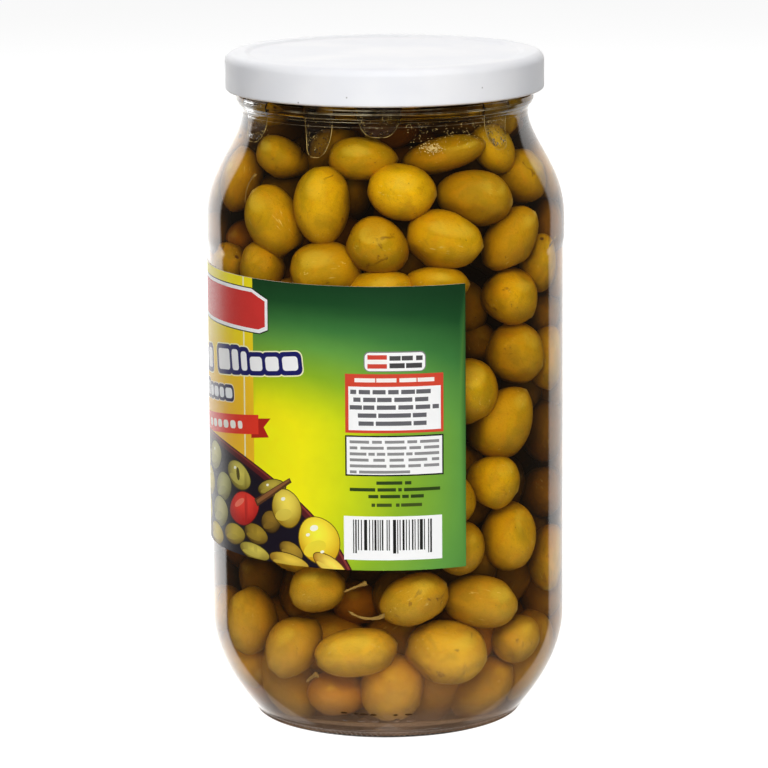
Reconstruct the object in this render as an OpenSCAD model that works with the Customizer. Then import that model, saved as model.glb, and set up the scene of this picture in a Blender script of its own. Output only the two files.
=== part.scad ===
// Tall glass jar of whole olives in brine, shut with a twist-off lid and wrapped
// in a paper label. Millimetres, +Z up, origin at the centre of the base.

/* [Jar] */
// Outer radius of the straight wall that carries the label
body_r = 58.3; // [54:0.1:64]
// How far the band above the label stands out from that wall
band_out = 0.5; // [0.4:0.1:1]
// Thickness of the glass wall
wall = 2.8; // [2:0.1:4]
// Outer radius of the ring that the jar stands on
foot_r = 41; // [38:0.5:46]
// Height of the rounded heel above the base
heel_h = 34; // [24:1:44]
// How tightly the heel turns in towards the foot
heel_curve = 1.95; // [1.6:0.05:2.4]
// Height at which the shoulder starts to turn in
shoulder_z = 164; // [158:1:170]
// Height at which the shoulder has become the neck
neck_z = 201; // [196:1:203]
// Outer radius of the neck
neck_r = 46.8; // [44:0.1:48]
// Outer radius of the bead below the lid
bead_r = 48.7; // [48:0.1:50]
// Height of the middle of the bead
bead_z = 205.4; // [204.5:0.1:206]
// Height of the glass mouth, where the lid seals
mouth_z = 218.8; // [217:0.1:219.5]
// Thickness of the glass floor at its middle
floor_t = 5; // [4:0.5:9]
// Height of the hollow under the base
push_up = 3.2; // [2:0.1:3.8]

/* [Lid] */
// Outer radius of the lid
lid_r = 52; // [51:0.1:54]
// Height of the lid's lower edge
lid_z = 208; // [207.5:0.1:210]
// Thickness of the lid's coated steel
lid_t = 0.7; // [0.4:0.05:1]
// Radius of the rounded edge between the lid's skirt and its top
lid_edge = 2.8; // [1.5:0.1:3]
// Depth of the sunk panel in the lid's top
panel_drop = 0.6; // [0.2:0.1:0.8]
// Radius of the rolled edge at the bottom of the skirt
curl_r = 0.9; // [0.6:0.05:1.1]

/* [Label] */
// Height of the label's lower edge
label_z = 60; // [50:1:70]
// Height of the label itself
label_h = 92; // [60:1:96]
// How far round the jar the label reaches, in degrees
label_arc = 205; // [120:1:300]
// Direction of the label's middle, in degrees from the front towards +X
label_turn = -77; // [-180:1:180]
// Thickness of the label
label_t = 0.3; // [0.2:0.05:0.35]

/* [Contents] */
// Height of the brine's surface
brine_z = 204; // [190:0.5:206]
// Height of the highest olives
heap_z = 205; // [202:0.5:208]
// Length of an olive
olive_l = 24.5; // [22:0.5:32]
// Width of an olive
olive_w = 19; // [18:0.5:25]
// Smallest gap between the olives and the glass
heap_gap = 0.8; // [0.5:0.1:2]

/* [Hidden] */
$fn = 128;
lid_top = mouth_z + 1.5;
in_r = body_r - wall;
in_foot = foot_r - 5;
in_floor = floor_t + push_up * 0.35;
in_heel = heel_h + 4;
top_in = neck_r - wall;
glass_c = [0.86, 0.9, 0.88, 0.35];
label_top = label_z + label_h;

// A smooth step from 0 to 1
function ease(t) = let (u = max(0, min(1, t))) u * u * (3 - 2 * u);
// How far the shoulder has turned in at height z, from 0 to 1
function turn_in(z) = ease(pow(max(0, min(1, (z - shoulder_z) / (neck_z - shoulder_z))), 1.34));
// Height from 0 to 1 through the heel, and the share of the heel's overhang left there
function heel_left(t, c) = pow(1 - max(0, min(1, t)), c);

// Outer radius of the glass at height z, up to the neck
function outer_r(z) =
    z < heel_h ? body_r - (body_r - foot_r - 1) * heel_left(z / heel_h, heel_curve)
    : z < label_top + 4 ? body_r
    : z < shoulder_z ? body_r + band_out * ease((z - label_top - 4) / (shoulder_z - label_top - 8))
    : body_r + band_out - (body_r + band_out - neck_r) * turn_in(z);

// Inner radius of the glass at height z, up to the mouth
function inner_r(z) =
    z < in_heel ? in_r - (in_r - in_foot) * heel_left((z - in_floor) / (in_heel - in_floor), heel_curve + 0.35)
    : z < shoulder_z - 2 ? in_r
    : in_r - (in_r - top_in) * turn_in(z + 2);

heel_pts = [for (i = [1 : 12]) let (z = 1 + (heel_h - 1) * i / 12) [outer_r(z), z]];
band_pts = [for (i = [0 : 4]) let (z = label_top + 4 + (shoulder_z - label_top - 8) * i / 4) [outer_r(z), z]];
shoulder_pts = [for (i = [1 : 18]) let (z = shoulder_z + (neck_z - shoulder_z) * i / 18) [outer_r(z), z]];
bead_pts = [for (a = [-70 : 20 : 70]) [bead_r - 1.9 + 1.9 * cos(a), bead_z + 2.2 * sin(a)]];
lip_pts = [for (a = [0 : 22.5 : 90]) [neck_r + 0.2 - 0.9 + 0.9 * cos(a), mouth_z - 0.9 + 0.9 * sin(a)]];

in_heel_pts = [for (i = [0 : 12]) let (z = in_floor + (in_heel - in_floor) * i / 12) [inner_r(z), z]];
in_shoulder_pts = [for (i = [0 : 18]) let (z = shoulder_z - 2 + (neck_z - shoulder_z) * i / 18) [inner_r(z), z]];
// The inside of the glass from the middle of the floor to the neck
in_pts = concat(
    [for (i = [0 : 4]) [in_foot * i / 5, in_floor + push_up * 0.65 * pow(cos(18 * i), 2)]],
    in_heel_pts, in_shoulder_pts);

module jar() {
    color(glass_c)
    difference() {
        rotate_extrude()
            polygon(concat(
                // Underside: a shallow dome inside the ring that the jar stands on
                [for (i = [0 : 6]) [(foot_r - 7) * i / 6, push_up * pow(cos(15 * i), 0.8)]],
                [[foot_r - 0.6, 0], [foot_r + 0.3, 0.25]],
                [[outer_r(1), 1]], heel_pts, band_pts, shoulder_pts,
                bead_pts,
                [[neck_r + 0.2, bead_z + 3.2]], lip_pts,
                [[0, mouth_z]]));
        rotate_extrude()
            polygon(concat(in_pts, [[top_in, mouth_z - 1], [top_in + 0.6, mouth_z + 0.01], [0, mouth_z + 0.01]]));
    }
}

module lid() {
    edge = lid_edge;
    color("white")
    rotate_extrude()
        polygon(concat(
            // Top: sunk panel, raised rim, then the rounded edge
            [[0, lid_top - panel_drop], [lid_r - 8.2, lid_top - panel_drop], [lid_r - 7.4, lid_top - panel_drop * 0.8],
             [lid_r - 6.6, lid_top - panel_drop * 0.15], [lid_r - 6, lid_top]],
            [for (a = [90 : -15 : 0]) [lid_r - edge + edge * cos(a), lid_top - edge + edge * sin(a)]],
            // Skirt, and the edge rolled in at its foot
            [for (a = [0 : -30 : -180]) [lid_r - curl_r + curl_r * cos(a), lid_z + curl_r + curl_r * sin(a)]],
            [for (a = [150 : -30 : 60]) [lid_r - curl_r + curl_r * cos(a), lid_z + curl_r + curl_r * sin(a)]],
            [[lid_r - lid_t, lid_z + 2 * curl_r + 0.6]],
            [for (a = [0 : 15 : 90]) [lid_r - edge + (edge - lid_t) * cos(a), lid_top - edge + (edge - lid_t) * sin(a)]],
            // Sealing ring that sits on the glass mouth
            [[neck_r + 0.9, lid_top - lid_t], [neck_r + 0.6, mouth_z], [top_in - 0.6, mouth_z], [top_in - 1.4, lid_top - panel_drop - lid_t],
             [0, lid_top - panel_drop - lid_t]]));
}

module label() {
    color([0.16, 0.42, 0.14])
    rotate([0, 0, -90 + label_turn - label_arc / 2])
        rotate_extrude(angle = label_arc)
            translate([body_r, label_z])
                square([label_t, label_h]);
}

// Outline of the heap from the middle of the floor, up the wall, to the middle of the top
heap_wall_n = 24;
heap_env = concat(
    [for (i = [1 : 3]) [in_foot * i / 3.6, in_floor + push_up * 0.65 + heap_gap]],
    [for (i = [0 : heap_wall_n]) let (z = in_floor + 2.2 + (heap_z - 8 - in_floor - 2.2) * i / heap_wall_n)
        [inner_r(z) - heap_gap - (i == heap_wall_n ? 2 : 0), z]],
    [for (i = [3 : -1 : 1]) [(top_in - 4) * i / 3.6, heap_z - 0.6 * i]]);
// Distance along that outline
function along(i) = i == 0 ? heap_env[0][0] : along(i - 1) + norm(heap_env[i] - heap_env[i - 1]);
heap_s = [for (i = [0 : len(heap_env) - 1]) along(i)];
s_r = [for (i = [0 : len(heap_env) - 1]) [heap_s[i], heap_env[i][0]]];
row_h = olive_w * 0.94;
function row_r(j) = lookup((j + 0.35) * row_h, s_r);
function row_n(j) = max(3, round(2 * PI * row_r(j) / olive_l));
// A repeatable uneven number from 0 to 1 for each olive
function uneven(i, j, k) = let (x = sin(i * 78.2 + j * 37.7 + k * 51.3) * 43.7) x - floor(x);
// How far the heap's outline is sunk at distance s and angle a: 0 at an olive's crown
function sunk(s, a) =
    let (j0 = floor(s / row_h - 0.35))
    olive_w * 0.42 - max([for (j = [j0 - 1 : j0 + 2])
        let (n = row_n(j), half = (j % 2) / 2, c = round(a / 360 * n - half))
        for (i = [c - 1 : c + 1])
            let (m = (i + 10 * n) % n,
                 da = (i + half + 0.3 * (uneven(m, j, 1) - 0.5)) * 360 / n - a,
                 dx = da * PI / 180 * max(row_r(j), 6) / (olive_l * (0.48 + 0.12 * uneven(m, j, 2))),
                 dy = (s - (j + 0.35 + 0.3 * (uneven(m, j, 3) - 0.5)) * row_h) / (olive_w * (0.5 + 0.12 * uneven(m, j, 4))))
            olive_w * 0.42 * sqrt(max(0, 1 - 0.8 * (dx * dx + dy * dy))) - 1.5 * uneven(m, j, 5)]);

heap_n = 60;
rings = len(heap_env);
// Inward direction of the outline at ring k
function inward(k) = let (a = heap_env[max(0, k - 1)], b = heap_env[min(rings - 1, k + 1)], d = (b - a) / norm(b - a)) [-d[1], d[0]];
function heap_pt(k, a) = let (w = inward(k), d = max(0, sunk(heap_s[k], a)),
    r = max(2, heap_env[k][0] + w[0] * d), z = heap_env[k][1] + w[1] * d) [r * sin(a), -r * cos(a), z];

module heap() {
    pts = concat(
        [for (k = [0 : rings - 1]) for (i = [0 : heap_n - 1]) heap_pt(k, i * 360 / heap_n)],
        [[0, 0, in_floor + push_up * 0.65 + heap_gap + 2], [0, 0, heap_z - 3]]);
    polyhedron(points = pts, convexity = 8, faces = concat(
        [for (i = [0 : heap_n - 1]) [rings * heap_n, i, (i + 1) % heap_n]],
        [for (k = [0 : rings - 2]) for (i = [0 : heap_n - 1]) let (p = k * heap_n + i, q = k * heap_n + (i + 1) % heap_n)
            each [[p, p + heap_n, q + heap_n], [p, q + heap_n, q]]],
        [for (i = [0 : heap_n - 1]) let (t = (rings - 1) * heap_n) [rings * heap_n + 1, t + (i + 1) % heap_n, t + i]]));
}

module olives() {
    color([0.62, 0.5, 0.1]) heap();
}

module brine() {
    below = [for (p = in_pts) if (p[1] < brine_z) p];
    color([0.55, 0.42, 0.2, 0.5])
    difference() {
        rotate_extrude()
            polygon(concat(below, [[inner_r(brine_z), brine_z], [0, brine_z]]));
        heap();
    }
}

jar();
lid();
label();
brine();
olives();
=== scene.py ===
import math

import bpy
import numpy as np
from mathutils import Matrix, Vector
from mathutils.geometry import delaunay_2d_cdt


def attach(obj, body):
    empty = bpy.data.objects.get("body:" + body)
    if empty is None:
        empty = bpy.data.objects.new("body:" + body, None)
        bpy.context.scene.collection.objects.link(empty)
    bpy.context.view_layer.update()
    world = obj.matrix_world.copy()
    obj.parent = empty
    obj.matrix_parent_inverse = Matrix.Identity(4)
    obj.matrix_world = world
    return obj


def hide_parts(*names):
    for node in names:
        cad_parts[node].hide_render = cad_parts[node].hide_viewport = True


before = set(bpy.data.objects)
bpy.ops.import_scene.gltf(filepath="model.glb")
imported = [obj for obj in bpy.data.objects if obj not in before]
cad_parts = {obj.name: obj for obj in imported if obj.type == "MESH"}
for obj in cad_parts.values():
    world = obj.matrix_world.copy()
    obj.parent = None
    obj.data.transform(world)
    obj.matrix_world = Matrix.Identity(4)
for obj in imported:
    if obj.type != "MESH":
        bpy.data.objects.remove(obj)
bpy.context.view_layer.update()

MM = 0.001
RNG = np.random.default_rng(7)

# ---------------------------------------------------------------- the jar's own sizes, in mm
BODY_R, BAND_OUT, WALL, FOOT_R = 58.3, 0.5, 2.8, 41.0
HEEL_H, HEEL_C, SHOULDER_Z, NECK_Z, NECK_R = 34.0, 1.95, 164.0, 201.0, 46.8
BEAD_R, BEAD_Z, MOUTH_Z, FLOOR_T, PUSH_UP = 48.7, 205.4, 218.8, 5.0, 3.2
LID_R, LID_Z, LID_T, LID_EDGE, PANEL_DROP, CURL_R = 52.0, 208.0, 0.7, 2.8, 0.6, 0.9
LID_TOP = MOUTH_Z + 1.5
LABEL_Z, LABEL_H, LABEL_T = 60.0, 92.0, 0.3
LABEL_TOP = LABEL_Z + LABEL_H
IN_R = BODY_R - WALL
IN_FOOT = FOOT_R - 5
IN_FLOOR = FLOOR_T + PUSH_UP * 0.35
IN_HEEL = HEEL_H + 4
TOP_IN = NECK_R - WALL
BRINE_Z = 204.5


def clamp(x, a=0.0, b=1.0):
    return np.minimum(b, np.maximum(a, x))


def ease(t):
    u = clamp(t)
    return u * u * (3 - 2 * u)


def turn_in(z):
    return ease(clamp((z - SHOULDER_Z) / (NECK_Z - SHOULDER_Z)) ** 1.34)


def outer_r(z):
    z = np.asarray(z, float)
    heel = BODY_R - (BODY_R - FOOT_R - 1) * (1 - clamp(z / HEEL_H)) ** HEEL_C
    band = BODY_R + BAND_OUT * ease((z - LABEL_TOP - 4) / (SHOULDER_Z - LABEL_TOP - 8))
    top = BODY_R + BAND_OUT - (BODY_R + BAND_OUT - NECK_R) * turn_in(z)
    return np.where(z < HEEL_H, heel, np.where(z < LABEL_TOP + 4, BODY_R, np.where(z < SHOULDER_Z, band, top)))


def inner_r(z):
    z = np.asarray(z, float)
    heel = IN_R - (IN_R - IN_FOOT) * (1 - clamp((z - IN_FLOOR) / (IN_HEEL - IN_FLOOR))) ** (HEEL_C + 0.35)
    top = IN_R - (IN_R - TOP_IN) * turn_in(z + 2)
    return np.where(z < IN_HEEL, heel, np.where(z < SHOULDER_Z - 2, IN_R, top))


def floor_z(r):
    """Height of the glass floor's top at radius r."""
    return IN_FLOOR + PUSH_UP * 0.65 * np.cos(np.radians(90 * clamp(np.asarray(r, float) / IN_FOOT))) ** 2


# ---------------------------------------------------------------- helpers for meshes and nodes
def make_mesh(name, verts, faces, smooth=True, sharp=None):
    me = bpy.data.meshes.new(name)
    me.from_pydata([tuple(v) for v in verts], [], faces)
    me.validate()
    me.update()
    if smooth:
        me.shade_smooth()
        if sharp is not None:
            me.set_sharp_from_angle(angle=math.radians(sharp))
    ob = bpy.data.objects.new(name, me)
    bpy.context.scene.collection.objects.link(ob)
    return ob


def revolve(name, path, n, warp=None, sharp=None):
    """A solid turned from a path that starts and ends on the axis, or closes on itself. warp(r, z, angles) gives each ring its radius."""
    ang = np.arange(n) * 2 * math.pi / n
    cs, sn = np.cos(ang), np.sin(ang)
    verts, rings = [], []
    for r, z in path:
        if r < 1e-6:
            rings.append(("pole", len(verts)))
            verts.append((0, 0, z * MM))
        else:
            rr = np.full(n, float(r)) if warp is None else warp(r, z, ang)
            rings.append(("ring", len(verts)))
            verts += [(rr[i] * cs[i] * MM, rr[i] * sn[i] * MM, z * MM) for i in range(n)]
    faces = []
    pairs = list(zip(rings[:-1], rings[1:]))
    if rings[0][0] == "ring":
        pairs.append((rings[-1], rings[0]))
    for (ka, a), (kb, b) in pairs:
        for i in range(n):
            j = (i + 1) % n
            if ka == "pole" and kb == "ring":
                faces.append((a, b + j, b + i))
            elif ka == "ring" and kb == "pole":
                faces.append((a + i, a + j, b))
            elif ka == "ring":
                faces.append((a + i, a + j, b + j, b + i))
    return make_mesh(name, verts, faces, sharp=sharp)


def srgb(*c):
    c = [x / 255 for x in c]
    return tuple(x / 12.92 if x <= 0.04045 else ((x + 0.055) / 1.055) ** 2.4 for x in c)


class Nodes:
    """Short names for building one node tree."""

    def __init__(self, tree):
        self.t = tree
        tree.nodes.clear()

    def new(self, kind, **inputs):
        n = self.t.nodes.new(kind)
        for k, v in inputs.items():
            if k.startswith("_"):
                setattr(n, k[1:], v)
        return n

    def put(self, socket, value):
        if isinstance(value, bpy.types.NodeSocket):
            self.t.links.new(value, socket)
        elif value is not None:
            socket.default_value = (*value, 1.0) if isinstance(value, tuple) and len(value) == 3 and socket.type == "RGBA" else value

    def math(self, op, a, b=None, c=None, clamp=False):
        n = self.t.nodes.new("ShaderNodeMath")
        n.operation, n.use_clamp = op, clamp
        for s, v in zip(n.inputs, (a, b, c)):
            self.put(s, v)
        return n.outputs[0]

    def mix(self, f, a, b, mode="MIX"):
        n = self.t.nodes.new("ShaderNodeMix")
        n.data_type, n.blend_type, n.clamp_factor = "RGBA", mode, True
        self.put(n.inputs[0], f)
        self.put(n.inputs[6], a)
        self.put(n.inputs[7], b)
        return n.outputs[2]

    def ramp(self, x, lo, hi, a=0.0, b=1.0, smooth=True):
        n = self.t.nodes.new("ShaderNodeMapRange")
        n.interpolation_type = "SMOOTHSTEP" if smooth else "LINEAR"
        n.clamp = True
        for s, v in zip(n.inputs, (x, lo, hi, a, b)):
            self.put(s, v)
        return n.outputs[0]

    def noise(self, vector, scale, detail=3.0, rough=0.55, distortion=0.0):
        n = self.t.nodes.new("ShaderNodeTexNoise")
        self.put(n.inputs["Vector"], vector)
        n.inputs["Scale"].default_value = scale
        n.inputs["Detail"].default_value = detail
        n.inputs["Roughness"].default_value = rough
        n.inputs["Distortion"].default_value = distortion
        return n.outputs["Fac"]

    def voronoi(self, vector, scale, feature="F1", rand=1.0):
        n = self.t.nodes.new("ShaderNodeTexVoronoi")
        n.feature = feature
        self.put(n.inputs["Vector"], vector)
        n.inputs["Scale"].default_value = scale
        n.inputs["Randomness"].default_value = rand
        return n.outputs["Distance"]

    def bump(self, height, strength, distance, normal=None):
        n = self.t.nodes.new("ShaderNodeBump")
        n.inputs["Strength"].default_value = strength
        n.inputs["Distance"].default_value = distance
        self.put(n.inputs["Height"], height)
        if normal is not None:
            self.put(n.inputs["Normal"], normal)
        return n.outputs["Normal"]


def material(name):
    m = bpy.data.materials.new(name)
    m.use_nodes = True
    return m, Nodes(m.node_tree)


def finish_surface(m, g, shader, volume=None):
    out = g.t.nodes.new("ShaderNodeOutputMaterial")
    g.t.links.new(shader, out.inputs["Surface"])
    if volume is not None:
        g.t.links.new(volume, out.inputs["Volume"])
    return m


def principled(g, **kw):
    n = g.t.nodes.new("ShaderNodeBsdfPrincipled")
    for k, v in kw.items():
        g.put(n.inputs[k], v)
    return n


def clear_material(name, colour, ior, shadow, rough=0.0, volume=None, bump=None):
    """Glass or liquid that bends what is seen through it and lets the lamps' light in."""
    m, g = material(name)
    p = principled(g, **{"Base Color": (*colour, 1.0), "Roughness": rough, "IOR": ior, "Transmission Weight": 1.0})
    if bump is not None:
        g.put(p.inputs["Normal"], bump(g))
    tr = g.t.nodes.new("ShaderNodeBsdfTransparent")
    tr.inputs[0].default_value = (*shadow, 1.0)
    lp = g.t.nodes.new("ShaderNodeLightPath")
    through = g.math("MAXIMUM", lp.outputs["Is Shadow Ray"], lp.outputs["Is Diffuse Ray"])
    mx = g.t.nodes.new("ShaderNodeMixShader")
    g.put(mx.inputs[0], through)
    g.t.links.new(p.outputs[0], mx.inputs[1])
    g.t.links.new(tr.outputs[0], mx.inputs[2])
    vol = None
    if volume:
        v = g.t.nodes.new("ShaderNodeVolumeAbsorption")
        v.inputs["Color"].default_value = (*volume[0], 1.0)
        v.inputs["Density"].default_value = volume[1]
        vol = v.outputs[0]
    return finish_surface(m, g, mx.outputs[0], vol)


def wet_material(name, colour, ior, volume=None):
    """Where glass and liquid meet: it bends what passes but hardly mirrors anything."""
    m, g = material(name)
    p = g.t.nodes.new("ShaderNodeBsdfRefraction")
    p.inputs["Color"].default_value = (*colour, 1.0)
    p.inputs["Roughness"].default_value = 0.0
    p.inputs["IOR"].default_value = ior
    tr = g.t.nodes.new("ShaderNodeBsdfTransparent")
    lp = g.t.nodes.new("ShaderNodeLightPath")
    through = g.math("MAXIMUM", lp.outputs["Is Shadow Ray"], lp.outputs["Is Diffuse Ray"])
    mx = g.t.nodes.new("ShaderNodeMixShader")
    g.put(mx.inputs[0], through)
    g.t.links.new(p.outputs[0], mx.inputs[1])
    g.t.links.new(tr.outputs[0], mx.inputs[2])
    vol = None
    if volume:
        v = g.t.nodes.new("ShaderNodeVolumeAbsorption")
        v.inputs["Color"].default_value = (*volume[0], 1.0)
        v.inputs["Density"].default_value = volume[1]
        vol = v.outputs[0]
    return finish_surface(m, g, mx.outputs[0], vol)


def assign(ob, slot, test):
    """Gives material slot to the faces whose centre and normal pass the test, lengths in mm."""
    n = len(ob.data.polygons)
    c, nn = np.zeros(n * 3), np.zeros(n * 3)
    ob.data.polygons.foreach_get("center", c)
    ob.data.polygons.foreach_get("normal", nn)
    c, nn = c.reshape(-1, 3) / MM, nn.reshape(-1, 3)
    hit = test(c, nn)
    idx = np.zeros(n, np.int32)
    ob.data.polygons.foreach_get("material_index", idx)
    idx[hit] = slot
    ob.data.polygons.foreach_set("material_index", idx)


def paint(ob, *mats):
    ob.data.materials.clear()
    for m in mats:
        ob.data.materials.append(m)


# ---------------------------------------------------------------- glass jar
def arc(cx, cz, rx, rz, a0, a1, n):
    return [(cx + rx * math.cos(math.radians(a0 + (a1 - a0) * i / n)), cz + rz * math.sin(math.radians(a0 + (a1 - a0) * i / n))) for i in range(n + 1)]


def glass_path():
    p = [(0, PUSH_UP)]
    p += [((FOOT_R - 7) * i / 10, PUSH_UP * math.cos(math.radians(9 * i)) ** 0.8) for i in range(1, 10)]
    p += [(FOOT_R - 7, 0.0), (FOOT_R - 6.4, 0.0), (FOOT_R - 1.2, 0.0), (FOOT_R - 0.6, 0.0), (FOOT_R + 0.1, 0.1), (FOOT_R + 0.45, 0.35)]
    p += [(float(outer_r(z)) + 0.3 * math.exp(-(((z - 2.9) / 0.25) ** 2)), z) for z in (0.7, 1.0, 1.4, 1.8, 2.2, 2.5, 2.65, 2.8, 2.95, 3.1, 3.3, 3.6)]
    p += [(float(outer_r(z)), z) for z in (4.3, 5.2, 6.2, 6.8, 7.1, 7.35, 7.6, 7.9, 8.2, 8.45, 8.7, 9.3)]
    p += [(float(outer_r(z)), z) for z in np.linspace(10.3, HEEL_H, 22)]
    p += [(float(outer_r(z)), z) for z in np.linspace(HEEL_H + 4, LABEL_TOP + 4, 18)]
    p += [(float(outer_r(z)), z) for z in np.linspace(LABEL_TOP + 4.7, SHOULDER_Z, 9)]
    p += [(float(outer_r(z)), z) for z in np.linspace(SHOULDER_Z + 1, NECK_Z, 36)]
    for z in np.concatenate([np.arange(NECK_Z + 0.2, 207.4, 0.13), np.arange(207.6, 210.5, 0.4)]):
        r = NECK_R + 0.2 * float(ease((z - NECK_Z) / 2)) + 1.7 * math.cos(math.pi / 2 * float(clamp(abs(z - BEAD_Z) / 3.9))) ** 2
        for seam in (201.2, 202.8, 204.1, 205.3, 206.6):
            r += 0.08 * math.exp(-(((z - seam) / 0.17) ** 2))
        p.append((r, float(z)))
    p += [(NECK_R + 0.2, 211.4), (NECK_R + 0.2, MOUTH_Z - 1.6)]
    p += arc(NECK_R - 0.7, MOUTH_Z - 0.9, 0.9, 0.9, 0, 90, 5)
    p += arc(TOP_IN + 0.9, MOUTH_Z - 0.9, 0.9, 0.9, 90, 180, 5)
    p += [(TOP_IN, MOUTH_Z - 2), (TOP_IN, 212), (TOP_IN, 206), (TOP_IN, 202)]
    p += [(float(inner_r(z)), z) for z in np.linspace(NECK_Z - 1, SHOULDER_Z - 3, 36)]
    p += [(float(inner_r(z)), z) for z in np.linspace(SHOULDER_Z - 6, IN_HEEL, 20)]
    p += [(float(inner_r(z)), z) for z in np.linspace(IN_HEEL - 1, IN_FLOOR, 26)]
    p += [(IN_FOOT * (1 - i / 12), float(floor_z(IN_FOOT * (1 - i / 12)))) for i in range(1, 12)]
    p += [(0, IN_FLOOR + PUSH_UP * 0.65)]
    return p


def glass_warp(r, z, a):
    out = np.full(len(a), float(r))
    if r > FOOT_R - 8 and z < MOUTH_Z - 4:
        inside = r < outer_r(max(z, 0.0)) - 1.2
        k = 0.13 if inside else 0.03
        out += k * (np.sin(3 * a + z / 23 + 1) * math.sin(z / 31 + 0.4) + 0.6 * np.sin(5 * a - z / 17) * math.cos(z / 19))
        if 0.5 < z < 2.4 and r > FOOT_R:
            out += 0.42 * np.cos(a * 160) * math.sin((z - 0.5) / 1.9 * math.pi)
    if 6.4 < z < 9.2 and r > outer_r(z) - 1:
        for deg, wide in ((-17.0, 1.0), (-10.4, 1.5), (-5.4, 1.3), (3.2, 0.8), (8.6, 1.5), (150.0, 1.5), (158.0, 1.2), (169.0, 1.4)):
            d = (np.degrees(a) + 90 - deg + 180) % 360 - 180
            out += 0.16 * np.exp(-((d / wide) ** 4)) * math.exp(-(((z - 7.8) / 0.55) ** 4))
    return out


jar = revolve("jar_glass", glass_path(), 640, warp=glass_warp, sharp=50)
glass = clear_material("clear_glass", (0.985, 0.995, 0.99), 1.5, (0.96, 0.975, 0.965))
wet_glass = wet_material("wet_glass", (0.985, 0.995, 0.99), 1.5)
paint(jar, glass, wet_glass)
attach(jar, "root"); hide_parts("jar")


# ---------------------------------------------------------------- lid
def lid_path():
    e, t = LID_EDGE, LID_T
    top = [(0, LID_TOP - PANEL_DROP), (LID_R * 0.4, LID_TOP - PANEL_DROP), (LID_R - 9.4, LID_TOP - PANEL_DROP), (LID_R - 8.6, LID_TOP - PANEL_DROP)]
    top += [(LID_R - 8.4 + 2.2 * i / 8, LID_TOP - PANEL_DROP + PANEL_DROP * float(ease(i / 8))) for i in range(9)]
    top += [(LID_R - 5.6, LID_TOP), (LID_R - e - 1.2, LID_TOP)]
    top += arc(LID_R - e, LID_TOP - e, e, e, 90, 0, 12)
    top += [(LID_R, LID_TOP - e - 0.8), (LID_R, LID_Z + CURL_R + 1.4), (LID_R, LID_Z + CURL_R + 0.5)]
    top += arc(LID_R - CURL_R, LID_Z + CURL_R, CURL_R, CURL_R, 0, -180, 12)
    top += arc(LID_R - CURL_R, LID_Z + CURL_R, CURL_R, CURL_R, 170, 60, 6)
    top += [(LID_R - t, LID_Z + 2 * CURL_R + 0.6), (LID_R - t, LID_TOP - e - 0.5)]
    top += arc(LID_R - e, LID_TOP - e, e - t, e - t, 0, 90, 6)
    top += [(NECK_R + 0.9, LID_TOP - t), (NECK_R + 0.6, MOUTH_Z), (TOP_IN - 0.6, MOUTH_Z), (TOP_IN - 1.4, LID_TOP - PANEL_DROP - t), (0, LID_TOP - PANEL_DROP - t)]
    return [p for p in reversed(top)]


def lid_warp(r, z, a):
    out = np.full(len(a), float(r))
    if r > LID_R - 3:
        out += 0.05 * np.sin(3 * a + 0.6) + 0.025 * np.sin(7 * a + z)
    return out


lid = revolve("lid_shell", lid_path(), 256, warp=lid_warp, sharp=45)
m, g = material("white_lacquer")
tc = g.new("ShaderNodeTexCoord")
fine = g.noise(tc.outputs["Object"], 900, 4, 0.6)
broad = g.noise(tc.outputs["Object"], 38, 3, 0.5)
base = g.mix(g.ramp(broad, 0.35, 0.7, 0, 1), srgb(237, 238, 242), srgb(244, 244, 246))
sep = g.new("ShaderNodeSeparateXYZ")
g.put(sep.inputs[0], tc.outputs["Object"])
# a thin warm line where the lacquer ends at the rolled edge, and a few specks of dirt
rim = g.ramp(sep.outputs["Z"], (LID_Z + 0.75) * MM, (LID_Z + 0.25) * MM, 0, 0.55)
base = g.mix(rim, base, srgb(214, 200, 178))
for px, pz in ((-27.4, 208.9), (31.0, 213.0), (-12.0, 211.2)):
    d = g.new("ShaderNodeVectorMath", _operation="DISTANCE")
    g.put(d.inputs[0], tc.outputs["Object"])
    d.inputs[1].default_value = (px * MM, -math.sqrt(LID_R**2 - px**2) * MM, pz * MM)
    base = g.mix(g.ramp(d.outputs["Value"], 0.00034, 0.00016, 0, 0.6), base, srgb(110, 102, 96))
p = principled(g, **{"Base Color": base, "Roughness": g.ramp(fine, 0.3, 0.7, 0.36, 0.48), "IOR": 1.5, "Specular IOR Level": 0.25, "Coat Weight": 0.08, "Coat Roughness": 0.25})
g.put(p.inputs["Normal"], g.bump(fine, 0.12, 0.00012, g.bump(broad, 0.1, 0.0003)))
finish_surface(m, g, p.outputs[0])
m2, g = material("gold_lacquer")
tc = g.new("ShaderNodeTexCoord")
p = principled(g, **{"Base Color": g.mix(g.noise(tc.outputs["Object"], 60, 2), srgb(74, 58, 26), srgb(96, 76, 36)), "Roughness": 0.5})
finish_surface(m2, g, p.outputs[0])
paint(lid, m, m2)
assign(lid, 1, lambda c, n: (np.hypot(c[:, 0], c[:, 1]) < LID_R - LID_T - 0.05) & (n[:, 2] < 0.3) & (c[:, 2] < LID_TOP - 0.3))
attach(lid, "root"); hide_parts("lid")


# ---------------------------------------------------------------- label
# The print is laid out flat, U along the wrap in mm from the front towards +X, Z up, cut into regions of one ink each, and wrapped round the glass.
LAB_R = BODY_R + LABEL_T
U0, U1 = math.radians(-179.5) * LAB_R, math.radians(25.5) * LAB_R
MID = math.radians(-77) * LAB_R


def box_pts(u0, z0, u1, z1):
    return [(u0, z0), (u1, z0), (u1, z1), (u0, z1)]


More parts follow.
